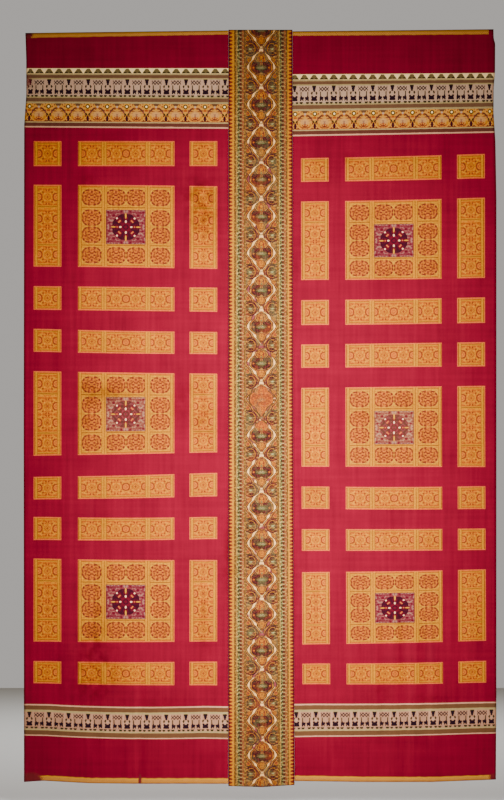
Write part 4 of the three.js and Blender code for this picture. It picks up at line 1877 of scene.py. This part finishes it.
@dataclass
class Panel:
    """One loom width of crimson silk with its woven blocks and borders.

    side is 1 for the panel right of the strip and -1 for the one left of it. phase is where the first border
    figure stands, from the seam, and other_dye says how far each of its dark squares is of the paler dye.
    """

    name: str
    side: int
    rows: tuple[WovenRow, ...]
    columns: Columns
    seam: Edge
    selvedge: Edge
    top: Edge
    foot: Edge
    phase: float
    loom_width: float
    other_dye: tuple[float, ...]

    def column_bounds(self) -> list[float]:
        """Where the grid must have lines across the panel, from the seam."""
        narrow, wide, inset = BLOCK_NARROW, self.columns.wide, BLOCK_INSET
        return [
            0.0,
            self.columns.inner + inset,
            self.columns.inner + narrow - inset,
            wide + inset,
            wide + SQUARE_FROM_SIDE,
            wide + SQUARE_FROM_SIDE + SQUARE_WIDE,
            wide + BLOCK_WIDE - 2 * inset,
            self.columns.outer + inset,
            self.columns.outer + narrow - inset,
            self.columns.stripe_end,
            self.loom_width,
        ]

    def line(self, across: Array, outer: float, inner: float, sag: float) -> Array:
        """A woven line: straight between its outer and inner drop, plus a sag that is a parabola."""
        share = (across - INNER_STATION) / (OUTER_STATION - INNER_STATION)
        belly = 1.0 - (2.0 * share - 1.0) ** 2
        return inner + (outer - inner) * share + sag * np.clip(belly, 0.0, 1.0)

    def bands(self, across: Array) -> list[tuple[Array, Array, Band, float, float]]:
        """Each band's upper and lower line, its kind, and its place in the design at both.

        Args:
            across: the grid's columns, from the seam.

        Returns:
            The bands from the top edge to the foot.
        """
        reach = self.seam.read(0.0) + self.side * across
        upper_edge, foot_edge = self.top.read(reach), self.foot.read(reach)
        found = []
        last = upper_edge
        for place, row in enumerate(self.rows):
            start = self.line(across, row.outer, row.inner, row.sag)
            tall = self.line(across, row.outer_tall, row.inner_tall, 0.0)
            if place == 0:
                start = upper_edge
            if place == len(self.rows) - 1:
                start = foot_edge - tall
            else:
                foot_line = start + tall
            if place > 0:
                found.append((last, start, Band.PLAIN, 0.0, 0.0))
            full = NOMINAL_TALL[row.band]
            end = foot_edge if place == len(self.rows) - 1 else foot_line
            cuts = (0.0, 1.0)
            if row.band is Band.TALL_ROW:
                cuts = (0.0, SQUARE_FROM_TOP / full, (SQUARE_FROM_TOP + SQUARE_TALL) / full, 1.0)
            for first, second in zip(cuts[:-1], cuts[1:]):
                upper = start + (end - start) * first
                lower = start + (end - start) * second
                found.append((upper, lower, row.band, first * full, second * full))
            last = end
        return found

    def grid(self) -> Grid:
        """Works the panel out as arrays, with its columns put in order from left to right."""
        across = stepped(self.column_bounds(), GRID_STEP)
        mid = (across[:-1] + across[1:]) / 2
        drops, regions, lefts, rights, tops, lows, dyes = [], [], [], [], [], [], []
        tall_count = 0
        for upper, lower, band, v_start, v_end in self.bands(across):
            is_square = band is Band.TALL_ROW and 0.0 < v_start < SQUARE_FROM_TOP * 1.1
            steps = max(1, math.ceil(float(np.max(lower - upper)) / GRID_STEP))
            region, left, right = self.cells(across, mid, band, is_square)
            dye = self.other_dye[tall_count] if is_square else 0.0
            for step in range(steps):
                drops.append(upper + (lower - upper) * step / steps)
                regions.append(region)
                lefts.append(left)
                rights.append(right)
                first, second = (v_start + (v_end - v_start) * share / steps for share in (step, step + 1))
                if is_square:
                    in_square = region == Region.DARK_SQUARE.value
                    first_cells = np.where(in_square, first - v_start, first)
                    second_cells = np.where(in_square, second - v_start, second)
                elif band is Band.PLAIN:
                    first_cells = np.full(mid.shape, float(drops[-1].mean()))
                    second_cells = first_cells + float((lower - upper).mean()) / steps
                else:
                    first_cells = np.full(mid.shape, first)
                    second_cells = np.full(mid.shape, second)
                tops.append(first_cells)
                lows.append(second_cells)
                dyes.append(np.full(across.shape, dye))
            if is_square:
                tall_count += 1
        drops.append(lower)
        dyes.append(np.zeros(across.shape))
        drop = np.array(drops)
        fixed = self.columns.outer + BLOCK_NARROW
        seam = self.seam.read(drop) + self.side * SEAM_GAP / 2
        margin = np.clip((across - fixed) / (self.loom_width - fixed), 0.0, 1.0)
        woven = seam + self.side * np.minimum(across, fixed)
        x = woven + (self.selvedge.read(drop) - woven) * margin
        made = [x, drop, np.array(regions), np.array(lefts), np.array(rights), np.array(tops), np.array(lows)]
        made.append(np.array(dyes))
        if self.side < 0:
            made = [part[:, ::-1] for part in made]
            made[3], made[4] = made[4], made[3]
        return Grid(*made)

    def cells(self, across: Array, mid: Array, band: Band, is_square: bool) -> tuple[Array, Array, Array]:
        """What each cell of a band is, and its place along the design at its two sides.

        Args:
            across: the grid's columns, from the seam.
            mid: the middles between them.
            band: what is woven there.
            is_square: whether the band crosses the dark square.

        Returns:
            The region numbers and the design's place at the seam side and at the selvedge side of each cell.
        """
        start, end = across[:-1], across[1:]
        phase = self.phase
        full_width = {Band.TOP_BORDER: Region.TOP_BORDER, Band.FOOT_BORDER: Region.FOOT_BORDER}
        if band in full_width:
            return np.full(mid.shape, full_width[band].value), start - phase, end - phase
        region = np.full(mid.shape, Region.GROUND.value)
        left, right = start.copy(), end.copy()
        if band is Band.END_STRIPE:
            region[mid < self.columns.stripe_end] = Region.END_STRIPE.value
        if band not in (Band.SHORT_ROW, Band.TALL_ROW):
            return region, left, right
        tall = band is Band.TALL_ROW
        narrow = Region.NARROW_BLOCK if tall else Region.SMALL_BLOCK
        wide = Region.TALL_BLOCK if tall else Region.SHORT_BLOCK
        square_start = self.columns.wide + SQUARE_FROM_SIDE
        blocks = [
            (self.columns.inner, BLOCK_NARROW, narrow),
            (self.columns.outer, BLOCK_NARROW, narrow),
            (self.columns.wide, BLOCK_WIDE, wide),
        ]
        if is_square:
            blocks.append((square_start, SQUARE_WIDE, Region.DARK_SQUARE))
        for block_start, width, kind in blocks:
            end_inset = 2 * BLOCK_INSET if width == BLOCK_WIDE else BLOCK_INSET
            first = block_start + (0.0 if kind is Region.DARK_SQUARE else BLOCK_INSET)
            last = block_start + width - (0.0 if kind is Region.DARK_SQUARE else end_inset)
            inside = (mid > first) & (mid < last)
            region[inside] = kind.value
            left[inside] = start[inside] - block_start
            right[inside] = end[inside] - block_start
        return region, left, right


@dataclass
class CentreStrip:
    """The narrow patterned band between the panels.

    The medallions are a little longer at the top than at the foot: pitch_top and pitch_foot are theirs, and
    first_crossing is how far into a repeat the top edge lies, in repeats. foot_reach is where its foot starts
    and ends across.
    """

    name: str = "patterned_centre_strip"
    pitch_top: float = 217.5
    pitch_foot: float = 201.2
    first_crossing: float = 0.46
    foot_reach: Pair = (-190.0, 184.0)
    step: float = 9.0

    def grid(self) -> Grid:
        """Works the strip out as arrays, its design stretched so that each medallion has its own length."""
        bounds = (-STRIP_HALF, FIELD_LEFT, FIELD_RIGHT, STRIP_HALF)
        across = stepped(bounds, self.step)
        share = (across + STRIP_HALF) / (2 * STRIP_HALF)
        foot = STRIP_FOOT.read(self.foot_reach[0] + share * (self.foot_reach[1] - self.foot_reach[0]))
        lines = np.linspace(0.0, 1.0, int(HANGING_LENGTH / self.step))[:, None]
        drop = lines * foot[None, :]
        left_edge = LEFT_SEAM.read(drop) + SEAM_GAP / 2
        right_edge = RIGHT_SEAM.read(drop) - SEAM_GAP / 2
        x = left_edge + (right_edge - left_edge) * share[None, :]
        shrink = (self.pitch_top - self.pitch_foot) / HANGING_LENGTH
        repeats = -np.log(1.0 - shrink * drop[:, :1] / self.pitch_top) / shrink
        design = (repeats + self.first_crossing) * CHAIN_PITCH + np.zeros(across.shape)
        mid = (across[:-1] + across[1:]) / 2
        is_field = (mid > FIELD_LEFT) & (mid < FIELD_RIGHT)
        region = np.where(is_field, Region.STRIP_FIELD.value, Region.STRIP_EDGE.value)
        shift = np.where(is_field, FIELD_MIDDLE, 0.0)
        rows = len(lines) - 1
        repeat = np.zeros((rows, 1))
        return Grid(
            x,
            drop,
            region[None, :] + repeat.astype(int),
            (across[:-1] - shift)[None, :] + repeat,
            (across[1:] - shift)[None, :] + repeat,
            design[:-1, :-1],
            design[1:, :-1],
            np.zeros(x.shape),
        )


@dataclass
class SeamStitches:
    """Whip stitches that hold one butt seam, all in one mesh.

    Each stitch is a short thread of a few sides that arches over the seam, leaning a little down the cloth.
    """

    name: str
    seam: Edge
    hang: Hang
    pitch: float = 11.0
    reach: float = 3.2
    lean: float = 3.4
    thread: float = 0.34
    first: float = 14.0
    last: float = 4336.0
    steps: int = 7
    sides: int = 5

    def build(self, material: bpy.types.Material) -> bpy.types.Object:
        """Carries a small circle along every stitch's arch at once.

        The arch runs from -1 to 1 across the seam, stands proud by the cosine of a quarter turn, and dips
        into the cloth at both ends.

        Args:
            material: the thread's finish.

        Returns:
            The joined stitches.
        """
        middle = np.arange(self.first, self.last, self.pitch)[:, None]
        along = np.linspace(-1.0, 1.0, self.steps)[None, :]
        drop = middle + self.lean * along
        x = self.seam.read(drop) + self.reach * along
        lift = CLOTH_THICKNESS / 2 + self.thread * (1.6 * np.cos(along * math.pi / 2) - 0.5)
        y = -self.hang.proud(x, drop) - lift
        turn = np.linspace(0.0, 2 * math.pi, self.sides, endpoint=False)
        taper = self.thread * (0.55 + 0.45 * np.sqrt(np.clip(1.0 - along**4, 0.0, 1.0)))
        side_x = -self.lean / math.hypot(self.reach, self.lean)
        side_z = -self.reach / math.hypot(self.reach, self.lean)
        ring_x = x[..., None] + taper[..., None] * np.cos(turn) * side_x
        ring_y = y[..., None] - taper[..., None] * np.sin(turn)
        ring_z = -drop[..., None] + taper[..., None] * np.cos(turn) * side_z
        points = np.stack((ring_x, ring_y, ring_z), axis=-1).reshape(-1, 3) * MM

        count = len(middle)
        stitch = np.arange(count)[:, None, None] * self.steps * self.sides
        step = np.arange(self.steps - 1)[None, :, None] * self.sides
        side = np.arange(self.sides)[None, None, :]
        after = (side + 1) % self.sides
        base = stitch + step
        next_ring = base + self.sides
        walls = np.stack((base + side, next_ring + side, next_ring + after, base + after), axis=-1)
        ends = np.arange(count)[:, None] * self.steps * self.sides + np.arange(self.sides)[None, :]
        faces = walls.reshape(-1, 4).tolist() + ends.tolist()
        faces += (ends[:, ::-1] + (self.steps - 1) * self.sides).tolist()
        mesh = bpy.data.meshes.new(self.name)
        mesh.from_pydata(points, [], faces)
        mesh.materials.append(material)
        mesh.polygons.foreach_set("use_smooth", np.ones(len(faces), bool))
        mesh.uv_layers.new(name=WEAVE_MAP)
        mesh.update()
        return add_object(self.name, mesh)


@dataclass
class Curtain:
    """The whole curtain: both panels, the strip and its two seams."""

    hang: Hang
    wardrobe: Wardrobe

    def dress(self, piece: bpy.types.Object, node: str) -> None:
        """Makes a sheet stand for its solid: hides the solid and attaches the sheet to the root."""
        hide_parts(node)
        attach(piece, "root")
        LOG.info("%s: %d faces", piece.name, len(piece.data.polygons))

    def build(self) -> None:
        """Builds every piece in order."""
        maker = ClothMaker(self.hang, self.wardrobe)
        left = Panel(
            name="crimson_panel_left",
            side=-1,
            rows=LEFT_ROWS,
            columns=LEFT_COLUMNS,
            seam=LEFT_SEAM,
            selvedge=LEFT_SELVEDGE,
            top=LEFT_PANEL_TOP,
            foot=LEFT_PANEL_FOOT,
            phase=16.8,
            loom_width=1180.0,
            other_dye=(0.0, 0.75, 0.0),
        )
        right = Panel(
            name="crimson_panel_right",
            side=1,
            rows=RIGHT_ROWS,
            columns=RIGHT_COLUMNS,
            seam=RIGHT_SEAM,
            selvedge=RIGHT_SELVEDGE,
            top=RIGHT_PANEL_TOP,
            foot=RIGHT_PANEL_FOOT,
            phase=9.4,
            loom_width=1172.0,
            other_dye=(0.0, 1.0, 0.0),
        )
        self.dress(maker.make(left.name, left.grid()), "panel_left")
        self.dress(maker.make(right.name, right.grid()), "panel_right")
        strip = CentreStrip()
        self.dress(maker.make(strip.name, strip.grid()), "centre_strip")
        for name, seam in (("seam_stitches_left", LEFT_SEAM), ("seam_stitches_right", RIGHT_SEAM)):
            stitches = SeamStitches(name, seam, self.hang).build(self.wardrobe.thread)
            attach(stitches, "root")
            LOG.info("%s: %d faces", name, len(stitches.data.polygons))


@dataclass
class Studio:
    """The pale floor, the soft lights and the camera, which looks straight at the curtain."""

    view_centre: Pair = (-0.053, -2.140)
    view_height: float = 4.624
    distance: float = 20.0
    sensor: float = 36.0
    floor_drop: float = 4.47
    floor_size: float = 16.0
    key_power: float = 143.0
    key_size: Pair = (1.98, 3.35)
    key_place: Triple = (0.08, -1.147, -2.37)
    back_power: float = 420.0
    back_size: Pair = (6.0, 5.0)
    back_place: Triple = (0.0, 4.4, 0.6)
    surround: Colour = (0.2, 0.17, 0.13, 1.0)
    seen: Colour = (0.44, 0.42, 0.4, 1.0)

    def build(self) -> None:
        """Makes the floor, camera, lights and surroundings."""
        self.build_floor()
        self.build_camera()
        self.build_lights()

    def build_floor(self) -> None:
        """A flat square grid below the foot of the cloth."""
        half = self.floor_size / 2
        corners = [(-half, -half), (half, -half), (half, half), (-half, half)]
        mesh = bpy.data.meshes.new("floor")
        mesh.from_pydata([(x, y, -self.floor_drop) for x, y in corners], [], [(0, 1, 2, 3)])
        mesh.materials.append(StageFinish("pale_floor", 0.6).build())
        add_object("floor", mesh)

    def build_camera(self) -> None:
        """A long lens far away, so that upright lines stay upright."""
        lens = bpy.data.cameras.new("camera")
        lens.sensor_width = self.sensor
        lens.lens = self.sensor * self.distance / self.view_height
        lens.clip_end = 100.0
        camera = add_object("camera", lens)
        camera.location = (self.view_centre[0], -self.distance, self.view_centre[1])
        camera.rotation_euler = (math.pi / 2, 0.0, 0.0)
        bpy.context.scene.camera = camera

    def place_lamp(self, name: str, power: float, size: Pair, place: Triple, tilt: float) -> None:
        """Adds one soft rectangular lamp.

        Args:
            name: the lamp's name.
            power: its power in watts.
            size: its width and height in metres.
            place: where it stands.
            tilt: how far it is turned up about X from shining straight down.
        """
        light = bpy.data.lights.new(name, "AREA")
        light.shape = "RECTANGLE"
        light.size, light.size_y = size
        light.energy = power
        lamp = add_object(name, light)
        lamp.location = place
        lamp.rotation_euler = (tilt, 0.0, 0.0)

    def build_lights(self) -> None:
        """One soft key near the middle, which falls off to the corners, a lamp behind, and dim air.

        What the camera sees past the cloth is paler than the air that lights it.
        """
        self.place_lamp("key", self.key_power, self.key_size, self.key_place, math.pi / 2)
        self.place_lamp("back", self.back_power, self.back_size, self.back_place, -math.pi / 4)
        world = bpy.data.worlds.new("surroundings")
        world.use_nodes = True
        tree = world.node_tree
        dim = tree.nodes["Background"]
        dim.inputs["Color"].default_value = self.surround
        pale = tree.nodes.new("ShaderNodeBackground")
        pale.inputs["Color"].default_value = self.seen
        path = tree.nodes.new("ShaderNodeLightPath")
        mix = tree.nodes.new("ShaderNodeMixShader")
        tree.links.new(path.outputs["Is Camera Ray"], mix.inputs[0])
        tree.links.new(dim.outputs[0], mix.inputs[1])
        tree.links.new(pale.outputs[0], mix.inputs[2])
        tree.links.new(mix.outputs[0], tree.nodes["World Output"].inputs["Surface"])
        bpy.context.scene.world = world


def main() -> None:
    """Loads the frame, builds the curtain round it and lights it."""
    logging.basicConfig(level=logging.INFO, format="%(name)s %(message)s")
    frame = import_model()
    LOG.info("frame has %d nodes", len(frame["nodes"]))
    Studio().build()
    Curtain(Hang(), Wardrobe()).build()


if __name__ == "__main__":
    main()
